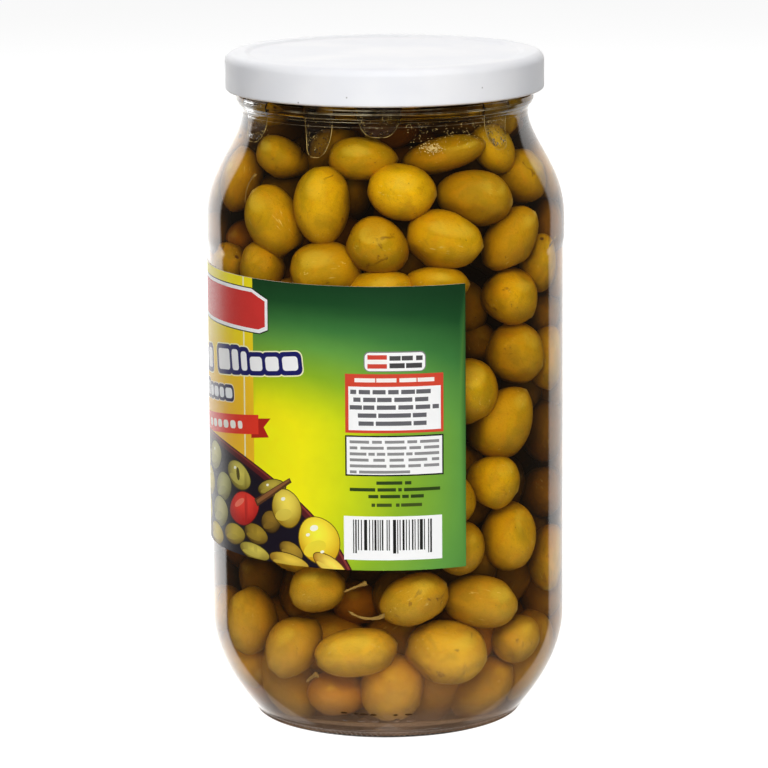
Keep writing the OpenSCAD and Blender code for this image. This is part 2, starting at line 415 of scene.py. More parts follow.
def rounded(u0, z0, u1, z1, r, n=5):
    out = []
    for cx, cz, a0 in ((u1 - r, z1 - r, 0), (u0 + r, z1 - r, 90), (u0 + r, z0 + r, 180), (u1 - r, z0 + r, 270)):
        out += [(cx + r * math.cos(math.radians(a0 + 90 * i / n)), cz + r * math.sin(math.radians(a0 + 90 * i / n))) for i in range(n + 1)]
    return out


def oval(cu, cz, a, b, tilt=0.0, n=36, point=0.0):
    t = math.radians(tilt)
    out = []
    for i in range(n):
        q = 2 * math.pi * i / n
        x, y = a * math.cos(q), b * math.sin(q) * (1 - point * math.cos(q) ** 2)
        out.append((cu + x * math.cos(t) - y * math.sin(t), cz + x * math.sin(t) + y * math.cos(t)))
    return out


def flat(*c):
    col = np.array(srgb(*c))
    return lambda u, z: np.tile(col, (len(u), 1))


def blend_ink(stops):
    """A colour that runs through (position, colour) stops along a function of place."""
    pos = np.array([s[0] for s in stops], float)
    cols = np.array([srgb(*s[1]) for s in stops])
    return lambda t: np.stack([np.interp(t, pos, cols[:, k]) for k in range(3)], 1)


def green_panel(u, z):
    # A yellow glow low and next to the front panel, running out into dark green at the top and the ends
    du = np.maximum(np.abs(u - MID) - 31.0, 0) / 60.0
    rise = np.interp(z, [55, 61, 75, 85, 103, 115.5, 125, 132, 138, 145, 152], [0.65, 0.55, 0.2, 0, 0, 0.5, 0.85, 1.15, 1.45, 1.95, 2.4])
    ramp = blend_ink([(0.0, (246, 236, 2)), (0.3, (242, 232, 2)), (0.45, (222, 222, 4)), (0.6, (194, 208, 10)), (0.85, (134, 174, 30)), (1.2, (94, 152, 62)), (1.5, (56, 116, 54)), (2.0, (22, 72, 34)), (2.5, (15, 56, 28))])
    return ramp(np.hypot(du, rise))


def yellow_panel(u, z):
    return blend_ink([(88, (255, 186, 30)), (104, (255, 184, 32)), (122, (255, 198, 28)), (136, (255, 218, 20)), (152, (255, 224, 12))])(z)


def olive_ink(cu, cz, a, b, tilt, light, dark):
    t = math.radians(tilt)
    lc, dc = np.array(srgb(*light)), np.array(srgb(*dark))

    def f(u, z):
        x = ((u - cu) * math.cos(t) + (z - cz) * math.sin(t)) / a
        y = (-(u - cu) * math.sin(t) + (z - cz) * math.cos(t)) / b
        d = clamp(np.hypot(x - 0.12, y - 0.3) / 1.15)[:, None]
        return lc * (1 - d**1.6) + dc * d**1.6
    return f


SHAPES = []  # (points, ink), later ones on top


def add(points, ink):
    SHAPES.append((np.array(points, float), ink))


def bars(u0, u1, z, widths, h, ink):
    """A line of print stood for by plain bars: widths are the shares of words and gaps, word first."""
    total, u = sum(widths), u0
    for i, w in enumerate(widths):
        w = w * (u1 - u0) / total
        if i % 2 == 0:
            add(rounded(u, z - h / 2, u + w, z + h / 2, min(h, w) * 0.3, 2), ink)
        u += w


WHITE, BLACK, NAVY, RED = flat(246, 246, 244), flat(24, 24, 26), flat(22, 24, 84), flat(214, 46, 34)
add(box_pts(U0, LABEL_Z, U1, LABEL_TOP), green_panel)
HALF = 30.8  # half the width of the yellow front panel
add(box_pts(MID - HALF, LABEL_Z, MID + HALF, LABEL_TOP), yellow_panel)
for s in (-1, 1):
    c = MID + s * (HALF - 4.6)
    add(box_pts(c - 0.33, LABEL_Z, c + 0.33, LABEL_TOP), flat(255, 240, 196))
# plaque: a plain red plate with cut corners
for g_, ink in ((1.5, flat(28, 22, 20)), (1.15, WHITE), (0.0, flat(206, 50, 46))):
    w, z0, z1, c = 36.4 + g_, 135.6 - g_, 147.4 + g_, 3.0 + g_ * 0.5
    add([(MID - w, z0 + c * 0.4), (MID - w + c, z0), (MID + w - c, z0), (MID + w, z0 + c * 0.4), (MID + w, z1 - c * 0.8), (MID + w - 2 * c, z1), (MID - w + 2 * c, z1), (MID - w, z1 - c * 0.8)], ink)
# title: a row of plain light blocks in a dark outline, set on a shallow curve; they spell nothing
TITLE = [(3.6, 6.6), (3.0, 4.6), (2.8, 4.6), (3.0, 4.6), (3.1, 6.4), (2.8, 4.6), (3.4, 6.4), (0, 0), (4.4, 6.8), (2.0, 6.8), (1.6, 6.2), (2.9, 4.6), (2.8, 4.6), (3.0, 4.6)]


def block_row(mid_u, half, base, slope, blocks, gap, grow, inks):
    """Blocks (width, height) spaced over mid_u ± half on a line that climbs by slope."""
    total = sum(w if w else 2.2 for w, _ in blocks) + gap * (len(blocks) - 1)
    k = 2 * half / total
    for g_, ink in zip(grow, inks):
        u = mid_u - half
        for w, h in blocks:
            if not w:
                u += 2.2 * k + gap * k
                continue
            c = u + w * k / 2
            z = base + slope * (c - mid_u)
            pts = rounded(-w * k / 2 - g_, -g_, w * k / 2 + g_, h + g_, min(1.1, w * k * 0.35) + g_ * 0.6, 4)
            add([(c + x - y * slope * 0.9, z + y + x * slope) for x, y in pts], ink)
            u += w * k + gap * k


block_row(MID, 49.6, 118.2, 0.116, TITLE, 0.75, (1.9, 1.5, 0.0), (flat(250, 236, 190), flat(24, 26, 96), flat(252, 252, 252)))
block_row(MID, 19.2, 108.9, 0.11, [(2.6, 4.4), (0, 0), (2.8, 4.6), (2.4, 3.4), (2.4, 3.4), (2.0, 3.4), (2.6, 3.4)], 0.6, (1.35, 1.05, 0.0), (flat(244, 226, 200), flat(36, 34, 76), flat(236, 238, 244)))
# ribbon with cut ends
def ribbon_z(du):
    return 100.2 + 0.13 * du


for s in (-1, 1):
    tail = [(29.5, -4.4), (37.6, -4.2), (35.4, -0.9), (38.4, 2.0), (29.5, 2.0)]
    add([(MID + s * du, ribbon_z(s * du) + dz) for du, dz in tail[:: int(s)]], flat(176, 30, 18))
du = np.linspace(-33.0, 33.0, 31)
add([(MID + d, ribbon_z(d) - 3.2) for d in du] + [(MID + d, ribbon_z(d) + 3.2) for d in du[::-1]], flat(224, 52, 32))
block_row(MID, 25.0, 98.7, 0.13, [(1.8, 2.6), (1.2, 3.4), (1.4, 3.4), (2.0, 3.4), (0, 0), (2.0, 2.6), (2.0, 2.6), (2.0, 2.6), (2.0, 2.6), (1.9, 2.6), (1.4, 2.6)], 0.7, (0.0,), (flat(255, 236, 226),))


# bowl of olives with a pepper: a round bowl drawn from plain ovals
def bowl_edge(k):
    return [(MID + 71.9 * k * math.sin(math.radians(a)), 40.0 + 57.0 * k * math.cos(math.radians(a))) for a in np.linspace(-86, 86, 81)]


def clip_low(points):
    """Cuts a convex shape off at the label's lower edge."""
    out = []
    n = len(points)
    for i in range(n):
        a, b = points[i], points[(i + 1) % n]
        if a[1] >= LABEL_Z:
            out.append(a)
        if (a[1] - LABEL_Z) * (b[1] - LABEL_Z) < 0:
            t = (LABEL_Z - a[1]) / (b[1] - a[1])
            out.append((a[0] + (b[0] - a[0]) * t, LABEL_Z))
    return out


def dish(k, ink):
    add(clip_low(bowl_edge(k)), ink)


dish(1.0, flat(70, 20, 24))
dish(0.992, flat(132, 50, 44))
dish(0.982, flat(84, 24, 30))
dish(0.955, flat(30, 18, 30))
dish(0.93, flat(22, 17, 32))
FOOD = [  # centre U and Z from the panel's middle, half sizes, tilt, light and dark ink
    (3.4, 89.6, 6.8, 4.6, 15, (204, 198, 128), (112, 106, 52)), (-12.5, 87.6, 7.0, 4.6, -12, (214, 200, 90), (126, 110, 34)),
    (-27.0, 84.0, 7.2, 4.8, 22, (222, 206, 84), (132, 112, 26)), (22.1, 86.2, 6.8, 4.4, -14, (218, 206, 92), (118, 104, 26)),
    (11.4, 80.6, 6.4, 4.6, 20, (188, 186, 120), (98, 94, 44)), (-5.0, 79.6, 7.2, 4.8, 5, (226, 206, 84), (128, 106, 26)),
    (-20.0, 76.0, 7.4, 5.0, -16, (232, 208, 66), (138, 108, 20)), (-36.5, 76.4, 6.8, 4.8, 35, (230, 204, 64), (136, 106, 22)),
    (8.0, 71.6, 7.0, 5.0, 12, (196, 190, 126), (104, 98, 48)), (-9.6, 70.4, 7.0, 4.6, -10, (218, 196, 70), (124, 100, 22)),
    (-30.0, 67.6, 7.6, 5.0, 15, (238, 210, 58), (150, 116, 20)), (-47.0, 67.0, 7.4, 5.4, 42, (236, 208, 58), (148, 114, 20)),
    (38.4, 84.4, 6.0, 2.7, 14, (190, 170, 60), (92, 74, 20)), (38.0, 73.2, 4.2, 3.6, 20, (150, 116, 34), (62, 42, 14)),
    (31.0, 68.2, 5.6, 3.2, -8, (176, 146, 40), (84, 60, 16)), (19.0, 66.2, 6.6, 3.4, 6, (206, 184, 66), (112, 88, 22)),
    (4.0, 63.6, 7.0, 3.6, 0, (222, 200, 68), (130, 102, 22)), (-14.0, 62.8, 7.2, 3.6, 8, (228, 204, 64), (138, 106, 22)),
    (46.0, 64.6, 4.6, 2.8, -20, (186, 150, 44), (90, 62, 16)), (30.0, 62.2, 7.2, 2.6, -6, (220, 204, 84), (130, 110, 30)),
    (44.4, 78.4, 5.6, 6.3, 18, (244, 222, 84), (150, 116, 16)), (56.2, 69.0, 7.0, 7.9, 28, (255, 236, 60), (206, 158, 14)),
    (45.0, 61.0, 7.6, 2.6, -8, (234, 200, 66), (140, 100, 20)), (60.0, 61.0, 6.4, 2.7, -32, (252, 226, 86), (176, 124, 34)),
]
for cu, cz, a, b, tilt, light, dark in FOOD:
    add(clip_low(oval(MID + cu, cz, a + 0.3, b + 0.3, tilt, point=0.1)), flat(*[int(x * 0.5) for x in dark]))
    add(clip_low(oval(MID + cu, cz, a, b, tilt, point=0.1)), olive_ink(MID + cu, cz, a, b, tilt, light, dark))
    add(clip_low(oval(MID + cu - a * 0.2, cz - b * 0.35, a * 0.62, b * 0.3, tilt, 16)), olive_ink(MID + cu - a * 0.2, cz - b * 0.2, a, b, tilt, [int(x * 0.9) for x in light], [int(x * 0.5 + y * 0.5) for x, y in zip(light, dark)]))
# stone holes in two of them, the pepper and its stalk
add(oval(MID + 22.0, 86.6, 1.0, 2.2, 8, 14), flat(84, 74, 18))
add(oval(MID - 20.4, 76.2, 2.0, 0.9, -20, 14), flat(94, 76, 18))
add(oval(MID + 24.6, 75.6, 8.6, 5.7, 18, point=0.25), flat(96, 14, 14))
add(oval(MID + 24.6, 75.6, 8.3, 5.4, 18, point=0.25), olive_ink(MID + 24.6, 75.6, 8.3, 5.4, 18, (240, 62, 46), (168, 20, 20)))
add(oval(MID + 22.6, 77.2, 3.2, 1.0, 30, 14), flat(250, 120, 96))
add([(MID + 30.6, 79.6), (MID + 32.0, 77.4), (MID + 38.6, 81.6), (MID + 46.6, 87.2), (MID + 45.8, 88.6), (MID + 37.0, 83.2)], flat(84, 52, 28))
add([(MID + 31.6, 79.4), (MID + 32.2, 78.4), (MID + 38.0, 82.0), (MID + 45.8, 87.6), (MID + 45.4, 88.0), (MID + 37.0, 82.9)], flat(136, 88, 48))
for du, dz, r in ((43.2, 81.4, 0.9), (54.6, 73.0, 1.5), (52.4, 70.6, 0.8), (57.4, 65.4, 0.7), (20.2, 88.4, 0.8), (-30.0, 69.8, 0.9), (-5.6, 82.0, 0.9), (-46.0, 69.4, 1.0), (3.0, 91.6, 0.8), (36.8, 85.2, 0.6)):
    add(oval(MID + du, dz, r, r * 0.65, 20, 12), flat(255, 250, 220))


# panels at the label's ends
def end_panels(f):
    """f turns a place on the right-hand end into a place on the label."""
    def put(points, ink):
        pts = [f(u, z) for u, z in points]
        add(pts, ink)
    def lines(u0, u1, z, widths, h, ink):
        total, u = sum(widths), u0
        for i, w in enumerate(widths):
            w = w * (u1 - u0) / total
            if i % 2 == 0:
                put(box_pts(u, z - h / 2, u + w, z + h / 2), ink)
            u += w
    # pill with a small block of plain stripes
    put(rounded(-7.2, 124.7, 12.7, 131.2, 1.8), flat(120, 120, 118))
    put(rounded(-6.9, 124.9, 12.4, 130.8, 1.6), flat(240, 240, 238))
    for i, c in enumerate(((202, 64, 48), (240, 236, 230), (202, 64, 48))):
        put(box_pts(-6.0, 125.7 + 1.45 * i, 0.2, 127.15 + 1.45 * i), flat(*c))
    lines(1.0, 11.6, 129.0, (3.4, 0.3, 3.4, 1, 2), 1.5, flat(74, 74, 74))
    lines(1.0, 11.4, 126.6, (3.4, 0.3, 3.6), 1.6, flat(66, 66, 66))
    # framed panel with a heading
    put(box_pts(-13.3, 104.8, 18.4, 123.9), flat(205, 66, 44))
    put(box_pts(-12.2, 105.7, 17.5, 119.8), WHITE)
    lines(-10.2, 15.4, 121.9, (5.6, 0.3, 5.4, 0.8, 4.6, 0.3, 4.6), 1.3, flat(250, 232, 226))
    for z, a, b, w in ((118.1, -11.6, 14.2, (1.4, 0.6, 2.6, 0.6, 3, 0.6, 2.4, 0.6, 3.2, 0.3, 3.4)), (115.6, -10.6, 13.4, (1.6, 0.6, 2.8, 0.3, 3.2, 0.6, 4, 0.6, 3)), (113.1, -11.8, 16.9, (3, 0.3, 2.7, 0.6, 4.6, 0.6, 3.6, 0.6, 3.6, 0.6, 1.6)), (110.5, -9.2, 12.8, (4, 0.4, 7, 0.4, 3)), (107.9, -9.0, 12.8, (3, 0.4, 7, 0.4, 2.6))):
        lines(a, b, z, w, 1.4, flat(96, 96, 100))
    # second panel, framed in black
    put(box_pts(-13.4, 90.8, 18.4, 104.0), BLACK)
    put(box_pts(-12.9, 91.3, 17.9, 103.5), flat(242, 243, 241))
    for i, w in enumerate(((4, 0.6, 2, 0.6, 4, 0.6, 2, 0.6, 4), (2, 0.8, 6, 0.8, 5, 0.8, 3, 0.8, 4), (4, 0.5, 1.5, 0.5, 2, 0.5, 4, 0.5, 1.5, 0.5, 6), (4, 1.0, 2.4, 1.0, 3, 1.0, 4, 1.0, 1.6), (7, 0.6, 3, 0.6, 2.4, 0.6, 3), (1.6, 0.6, 12, 7))):
        lines(-11.9, 16.9, 101.9 - 1.95 * i, w, 0.95, flat(136, 136, 136))
    # three short lines
    for z, a, b, w in ((88.6, -3.4, 7.8, (8, 0.8, 2)), (86.4, -12.0, 17.2, (7, 0.6, 5, 0.6, 1, 0.6, 10)), (84.2, -6.0, 11.8, (3, 0.6, 6, 0.6, 2, 0.6, 4))):
        lines(a, b, z, w, 1.1, flat(44, 66, 22))
    lines(-5.0, 11.2, 81.4, (1.2, 0.5, 5, 1.4, 1.2, 0.5, 7), 1.1, flat(60, 78, 24))
    # white block with plain upright bars
    put(box_pts(-14.0, 63.4, 17.8, 77.7), flat(250, 250, 250))
    u, i = -11.0, 0
    while u < 14.0:
        w = (0.34, 0.68, 0.34, 1.02, 0.34, 0.5)[(i * 5 + i // 3) % 6]
        gap = (0.34, 0.34, 0.68, 0.4, 1.02, 0.34, 0.6)[(i * 3 + i // 4) % 7]
        long_bar = i in (0, 1, 13, 14) or u > 12.6
        put(box_pts(u, 65.6 if long_bar else 66.6, min(u + w, 14.4), 76.6), flat(30, 30, 30))
        u += w + gap
        i += 1


end_panels(lambda u, z: (u, z))


# the far end: a plain table of lines
def far_panel():
    c = U0 + 24.0
    add(box_pts(c - 15.6, 66.0, c + 15.6, 138.0), BLACK)
    add(box_pts(c - 15.1, 66.5, c + 15.1, 137.5), flat(244, 245, 243))
    bars(c - 13.2, c + 13.2, 133.6, (6, 0.6, 7), 2.4, flat(40, 40, 40))
    add(box_pts(c - 13.6, 129.6, c + 13.6, 130.4), BLACK)
    for i in range(15):
        z = 126.4 - 4.0 * i
        a = 4 + (i * 7) % 5
        bars(c - 13.2, c - 13.2 + 14 + a % 3, z, (a, 0.7, 5), 1.2, flat(70, 70, 70))
        bars(c + 8.2 + (i % 3), c + 13.2, z, (3,), 1.2, flat(70, 70, 70))
        add(box_pts(c - 13.6, z - 2.1, c + 13.6, z - 1.9), flat(150, 150, 150))


far_panel()


def in_poly(pts, poly):
    """True for each point inside a closed polygon."""
    x, y = pts[:, 0], pts[:, 1]
    inside = np.zeros(len(pts), bool)
    x0, y0 = poly[:, 0], poly[:, 1]
    x1, y1 = np.roll(x0, -1), np.roll(y0, -1)
    for a, b, c, d in zip(x0, y0, x1, y1):
        hit = ((b > y) != (d > y)) & (x < (c - a) * (y - b) / (d - b + 1e-30) + a)
        inside ^= hit
    return inside


def build_label():
    verts, edges = [], []

    def loop(pts, closed=True):
        i0 = len(verts)
        verts.extend(Vector((float(a), float(b))) for a, b in pts)
        n = len(pts)
        edges.extend((i0 + i, i0 + (i + 1) % n) for i in range(n if closed else n - 1))

    for pts, _ in SHAPES:
        loop(pts)
    cols = np.linspace(U0, U1, 96)
    for u in cols[1:-1]:
        loop([(u, LABEL_Z + LABEL_H * k / 31) for k in range(32)], closed=False)
    v2, _, f2, *_ = delaunay_2d_cdt(verts, edges, [], 0, 1e-5)
    P = np.array([tuple(v) for v in v2])
    F = np.array([f for f in f2 if len(f) == 3], int)
    keep = (P[:, 0] > U0 - 0.01) & (P[:, 0] < U1 + 0.01) & (P[:, 1] > LABEL_Z - 0.01) & (P[:, 1] < LABEL_TOP + 0.01)
    F = F[keep[F].all(1)]
    area = (P[F[:, 1], 0] - P[F[:, 0], 0]) * (P[F[:, 2], 1] - P[F[:, 0], 1]) - (P[F[:, 2], 0] - P[F[:, 0], 0]) * (P[F[:, 1], 1] - P[F[:, 0], 1])
    F = np.where((area < 0)[:, None], F[:, ::-1], F)
    F = F[np.abs(area) > 1e-9]
    cen = P[F].mean(1)
    owner = np.zeros(len(F), int)
    for k, (pts, _) in enumerate(SHAPES):
        lo, hi = pts.min(0), pts.max(0)
        near = np.nonzero((cen >= lo).all(1) & (cen <= hi).all(1))[0]
        if len(near):
            owner[near[in_poly(cen[near], pts)]] = k
    n = len(P)
    ang = P[:, 0] / LAB_R
    front = np.stack([LAB_R * np.sin(ang), -LAB_R * np.cos(ang), P[:, 1]], 1)
    rb = BODY_R + 0.02
    back = np.stack([rb * np.sin(ang), -rb * np.cos(ang), P[:, 1]], 1)
    co = np.concatenate([front, back]) * MM
    # edges used once are the outline
    e = np.concatenate([F[:, [0, 1]], F[:, [1, 2]], F[:, [2, 0]]])
    key = {}
    for a, b in e:
        key[(a, b)] = True
    rim = [(a, b) for a, b in key if (b, a) not in key]
    faces = [tuple(f) for f in F] + [(f[2] + n, f[1] + n, f[0] + n) for f in F] + [(b, a, a + n, b + n) for a, b in rim]
    ob = make_mesh("label_paper", co, faces)
    me = ob.data
    ink = me.attributes.new("ink", "FLOAT_COLOR", "CORNER")
    cols = np.ones((len(me.loops), 4), np.float32)
    cols[:, :3] = srgb(238, 236, 228)
    tri = F
    for k, (_, f) in enumerate(SHAPES):
        idx = np.nonzero(owner == k)[0]
        if len(idx) == 0:
            continue
        vs = tri[idx].ravel()
        c = f(P[vs, 0], P[vs, 1])
        at = (idx[:, None] * 3 + np.arange(3)).ravel()
        cols[at, :3] = c
    ink.data.foreach_set("color", cols.ravel())
    # true round normals, so that the paper shades as one curved sheet
    normals = np.zeros((len(me.loops), 3))
    vi = np.zeros(len(me.loops), int)
    me.loops.foreach_get("vertex_index", vi)
    fn = np.zeros(len(me.polygons) * 3)
    me.polygons.foreach_get("normal", fn)
    fn = fn.reshape(-1, 3)
    li = 0
    a_all = np.concatenate([ang, ang])
    nf = len(F)
    sizes = np.array([3] * (2 * nf) + [4] * len(rim))
    poly_of = np.repeat(np.arange(len(sizes)), sizes)
    round_n = np.stack([np.sin(a_all[vi]), -np.cos(a_all[vi]), np.zeros(len(vi))], 1)
    normals = np.where((poly_of < nf)[:, None], round_n, np.where((poly_of < 2 * nf)[:, None], -round_n, fn[poly_of]))
    me.normals_split_custom_set([tuple(x) for x in normals])
    return ob


label = build_label()
m, g = material("printed_paper")
at = g.new("ShaderNodeAttribute", _attribute_name="ink")
tc = g.new("ShaderNodeTexCoord")
fibre = g.noise(tc.outputs["Object"], 1400, 3, 0.6)
mottle = g.noise(tc.outputs["Object"], 160, 2, 0.5)
col = g.mix(g.ramp(mottle, 0.3, 0.7, 0.0, 0.04), at.outputs["Color"], (0.0, 0.0, 0.0))
lift = g.mix(1.0, col, (1.13, 1.13, 1.13), "MULTIPLY")
col = g.mix(1.0, lift, (0.97, 0.97, 0.965), "DARKEN")
p = principled(g, **{"Base Color": col, "Roughness": g.ramp(fibre, 0.3, 0.7, 0.36, 0.48), "IOR": 1.45, "Coat Weight": 0.15, "Coat Roughness": 0.25})
g.put(p.inputs["Normal"], g.bump(fibre, 0.08, 0.00008))
finish_surface(m, g, p.outputs[0])
paint(label, m)
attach(label, "root"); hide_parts("label")

# ---------------------------------------------------------------- olives
# Those that show at the front, where each lies against the glass: centre, half sizes, turn, how deep it lies and its tone
FRONT = np.array([
    (-30.3, -21.8, 186.4, 9.6, 6.9, 9.6, 0.296, 0.125, -0.598, 0.735, 0, 1),
    (-7.2, -35.5, 188.6, 10.5, 7.5, 9.6, 0.021, -0.004, -0.623, 0.782, 0, 1),
    (17.7, -30.4, 189.1, 13.0, 6.3, 9.6, 0.16, 0.073, 0.618, -0.766, 0, 0),
    (-41.6, -11.0, 178.1, 10.0, 8.1, 8.5, 0.522, 0.505, 0.322, -0.608, 0, 1),
    (39.0, -14.2, 178.7, 10.2, 8.1, 8.5, 0.253, 0.042, 0.601, -0.757, 0, 1),
    (-33.2, -31.3, 168.9, 11.3, 8.7, 8.7, 0.656, 0.606, 0.232, -0.387, 0, 1),
    (-18.9, -40.0, 174.7, 12.3, 8.7, 8.6, 0.542, 0.477, 0.415, -0.554, 0, 2),
    (-9.1, -33.7, 176.4, 7.2, 6.1, 9.6, 0.556, 0.462, 0.421, -0.548, 1, 2),
    (5.0, -42.2, 179.1, 10.5, 8.7, 8.5, 0.059, 0.06, -0.621, 0.78, 0, 2),
    (26.9, -33.8, 175.7, 12.0, 8.2, 8.5, 0.006, -0.074, 0.621, -0.78, 0, 0),
    (36.9, -27.8, 162.5, 11.4, 8.1, 8.5, 0.338, 0.176, 0.641, -0.666, 0, 1),
    (-2.3, -45.6, 163.5, 9.5, 8.6, 9.5, 0.151, 0.128, -0.651, 0.732, 0, 1),
    (17.5, -42.7, 164.8, 12.1, 8.4, 8.5, 0.048, 0.091, -0.656, 0.748, 0, 2),
    (41.3, -10.0, 163.5, 8.4, 6.9, 9.6, 0.606, 0.401, 0.526, -0.442, 1, 0),
    (-43.0, -7.3, 163.1, 7.8, 5.5, 9.6, 0.425, 0.531, 0.396, -0.617, 1, 0),
    (-36.0, -20.1, 162.0, 7.1, 6.1, 9.6, 0.003, 0.139, 0.65, -0.747, 1, 3),
    (-36.5, -28.3, 153.9, 9.2, 7.7, 9.6, 0.392, 0.453, 0.484, -0.637, 0, 1),
    (-18.2, -41.9, 154.9, 11.4, 9.3, 9.1, 0.039, 0.087, 0.662, -0.743, 0, 1),
    (15.3, -42.9, 150.8, 10.1, 6.7, 9.6, 0.007, -0.037, 0.661, -0.749, 0, 1),
    (36.6, -26.1, 143.7, 10.0, 9.3, 10.5, 0.207, 0.308, -0.585, 0.721, 0, 2),
    (20.4, -34.1, 142.4, 9.4, 7.8, 8.5, 0.574, 0.463, 0.471, -0.484, 1, 1),
    (38.0, -23.1, 124.4, 10.8, 9.6, 10.8, 0.079, 0.212, -0.623, 0.749, 0, 1),
    (23.4, -31.6, 130.9, 7.5, 6.9, 9.6, 0.62, 0.498, 0.431, -0.426, 1, 0),
    (23.6, -37.0, 114.6, 10.8, 10.2, 11.4, 0.649, 0.523, 0.395, -0.386, 0, 2),
    (34.2, -28.2, 103.3, 12.6, 10.6, 10.4, 0.391, 0.23, 0.612, -0.648, 0, 1),
    (31.8, -33.7, 84.5, 9.2, 8.4, 8.5, 0.102, 0.19, -0.622, 0.753, 0, 2),
    (19.9, -33.7, 91.6, 7.5, 6.6, 9.6, 0.594, 0.471, 0.45, -0.472, 1, 1),
    (40.6, -11.0, 97.1, 11.3, 7.9, 8.7, 0.633, 0.422, 0.498, -0.416, 1, 0),
    (39.9, -12.5, 136.6, 8.1, 7.3, 9.6, 0.697, 0.524, 0.401, -0.281, 1, 0),
    (40.5, -11.1, 76.3, 8.9, 7.7, 8.5, 0.702, 0.504, 0.409, -0.293, 1, 0),
    (36.1, -27.6, 65.0, 11.9, 9.6, 9.6, 0.631, 0.451, 0.463, -0.429, 0, 1),
    (22.0, -41.2, 64.0, 9.2, 8.2, 8.5, 0.61, 0.475, 0.438, -0.459, 0, 1),
    (-34.1, -22.4, 51.3, 8.4, 7.0, 9.6, 0.41, 0.444, 0.467, -0.646, 1, 1),
    (-21.8, -41.1, 51.1, 9.3, 8.0, 8.5, 0.113, 0.157, 0.624, -0.757, 0, 1),
    (-8.5, -37.4, 46.6, 7.4, 7.2, 9.6, 0.101, 0.108, 0.633, -0.76, 1, 3),
    (7.7, -45.9, 48.3, 11.1, 8.4, 8.5, 0.176, 0.127, 0.63, -0.746, 0, 1),
    (28.3, -35.4, 44.8, 12.6, 8.7, 8.6, 0.052, 0.132, -0.629, 0.765, 0, 1),
    (40.3, -11.6, 43.4, 9.6, 7.8, 8.7, 0.679, 0.464, 0.445, -0.355, 1, 0),
    (37.8, -24.5, 30.3, 8.7, 7.3, 9.6, 0.006, -0.139, 0.629, -0.765, 0, 1),
    (-40.6, -21.3, 36.2, 11.2, 9.0, 9.0, 0.384, 0.452, 0.456, -0.664, 0, 1),
    (-28.5, -34.2, 30.4, 11.3, 8.5, 8.5, 0.28, 0.318, 0.559, -0.713, 0, 1),
    (-10.0, -43.5, 30.8, 12.8, 7.7, 9.6, 0.067, 0.083, 0.636, -0.764, 0, 2),
    (17.7, -39.9, 29.9, 12.7, 10.0, 9.8, 0.054, 0.097, -0.637, 0.763, 0, 2),
    (1.4, -35.9, 18.3, 10.1, 9.4, 10.4, 0.532, 0.49, 0.471, -0.505, 0, 2),
    (-14.7, -24.5, 15.2, 7.5, 5.9, 9.6, 0.035, 0.09, 0.685, -0.722, 1, 3),
    (26.3, -23.4, 15.6, 10.8, 8.3, 8.5, 0.137, -0.253, 0.671, 0.684, 0, 1),
    (-42.6, -3.5, 45.5, 9.7, 7.4, 8.6, 0.335, 0.467, 0.443, -0.688, 1, 0),
    (41.8, -6.9, 31.7, 9.3, 7.1, 8.5, 0.678, 0.441, 0.466, -0.359, 1, 0),
    (35.2, 6.0, 184.2, 11.0, 7.5, 8.5, 0.669, 0.352, 0.48, -0.445, 1, 0),
    (0.0, -27.7, 198.2, 9.6, 9.5, 8.5, 0.566, 0.505, 0.434, -0.486, 1, 3),
    (-26.4, -11.9, 196.4, 11.5, 9.3, 9.7, 0.381, 0.435, 0.494, -0.649, 1, 0),
    (19.6, -19.7, 199.3, 9.6, 7.6, 9.6, 0.004, -0.079, 0.667, -0.741, 1, 0),
    (-13.5, -16.0, 199.9, 7.7, 6.1, 9.6, 0.01, -0.046, -0.67, 0.74, 2, 0),
])


def quat_matrix(q):
    w, x, y, z = q / np.linalg.norm(q)
    return np.array([[1 - 2 * (y * y + z * z), 2 * (x * y - z * w), 2 * (x * z + y * w)], [2 * (x * y + z * w), 1 - 2 * (x * x + z * z), 2 * (y * z - x * w)], [2 * (x * z - y * w), 2 * (y * z + x * w), 1 - 2 * (x * x + y * y)]])


def frame_on(axis, spin):
    """A turn that lays x along axis."""
    a = axis / np.linalg.norm(axis)
    b = np.cross(a, (0.3, 0.5, 0.81))
    b /= np.linalg.norm(b)
    c = np.cross(a, b)
    return np.stack([a, b * math.cos(spin) + c * math.sin(spin), -b * math.sin(spin) + c * math.cos(spin)], 1)


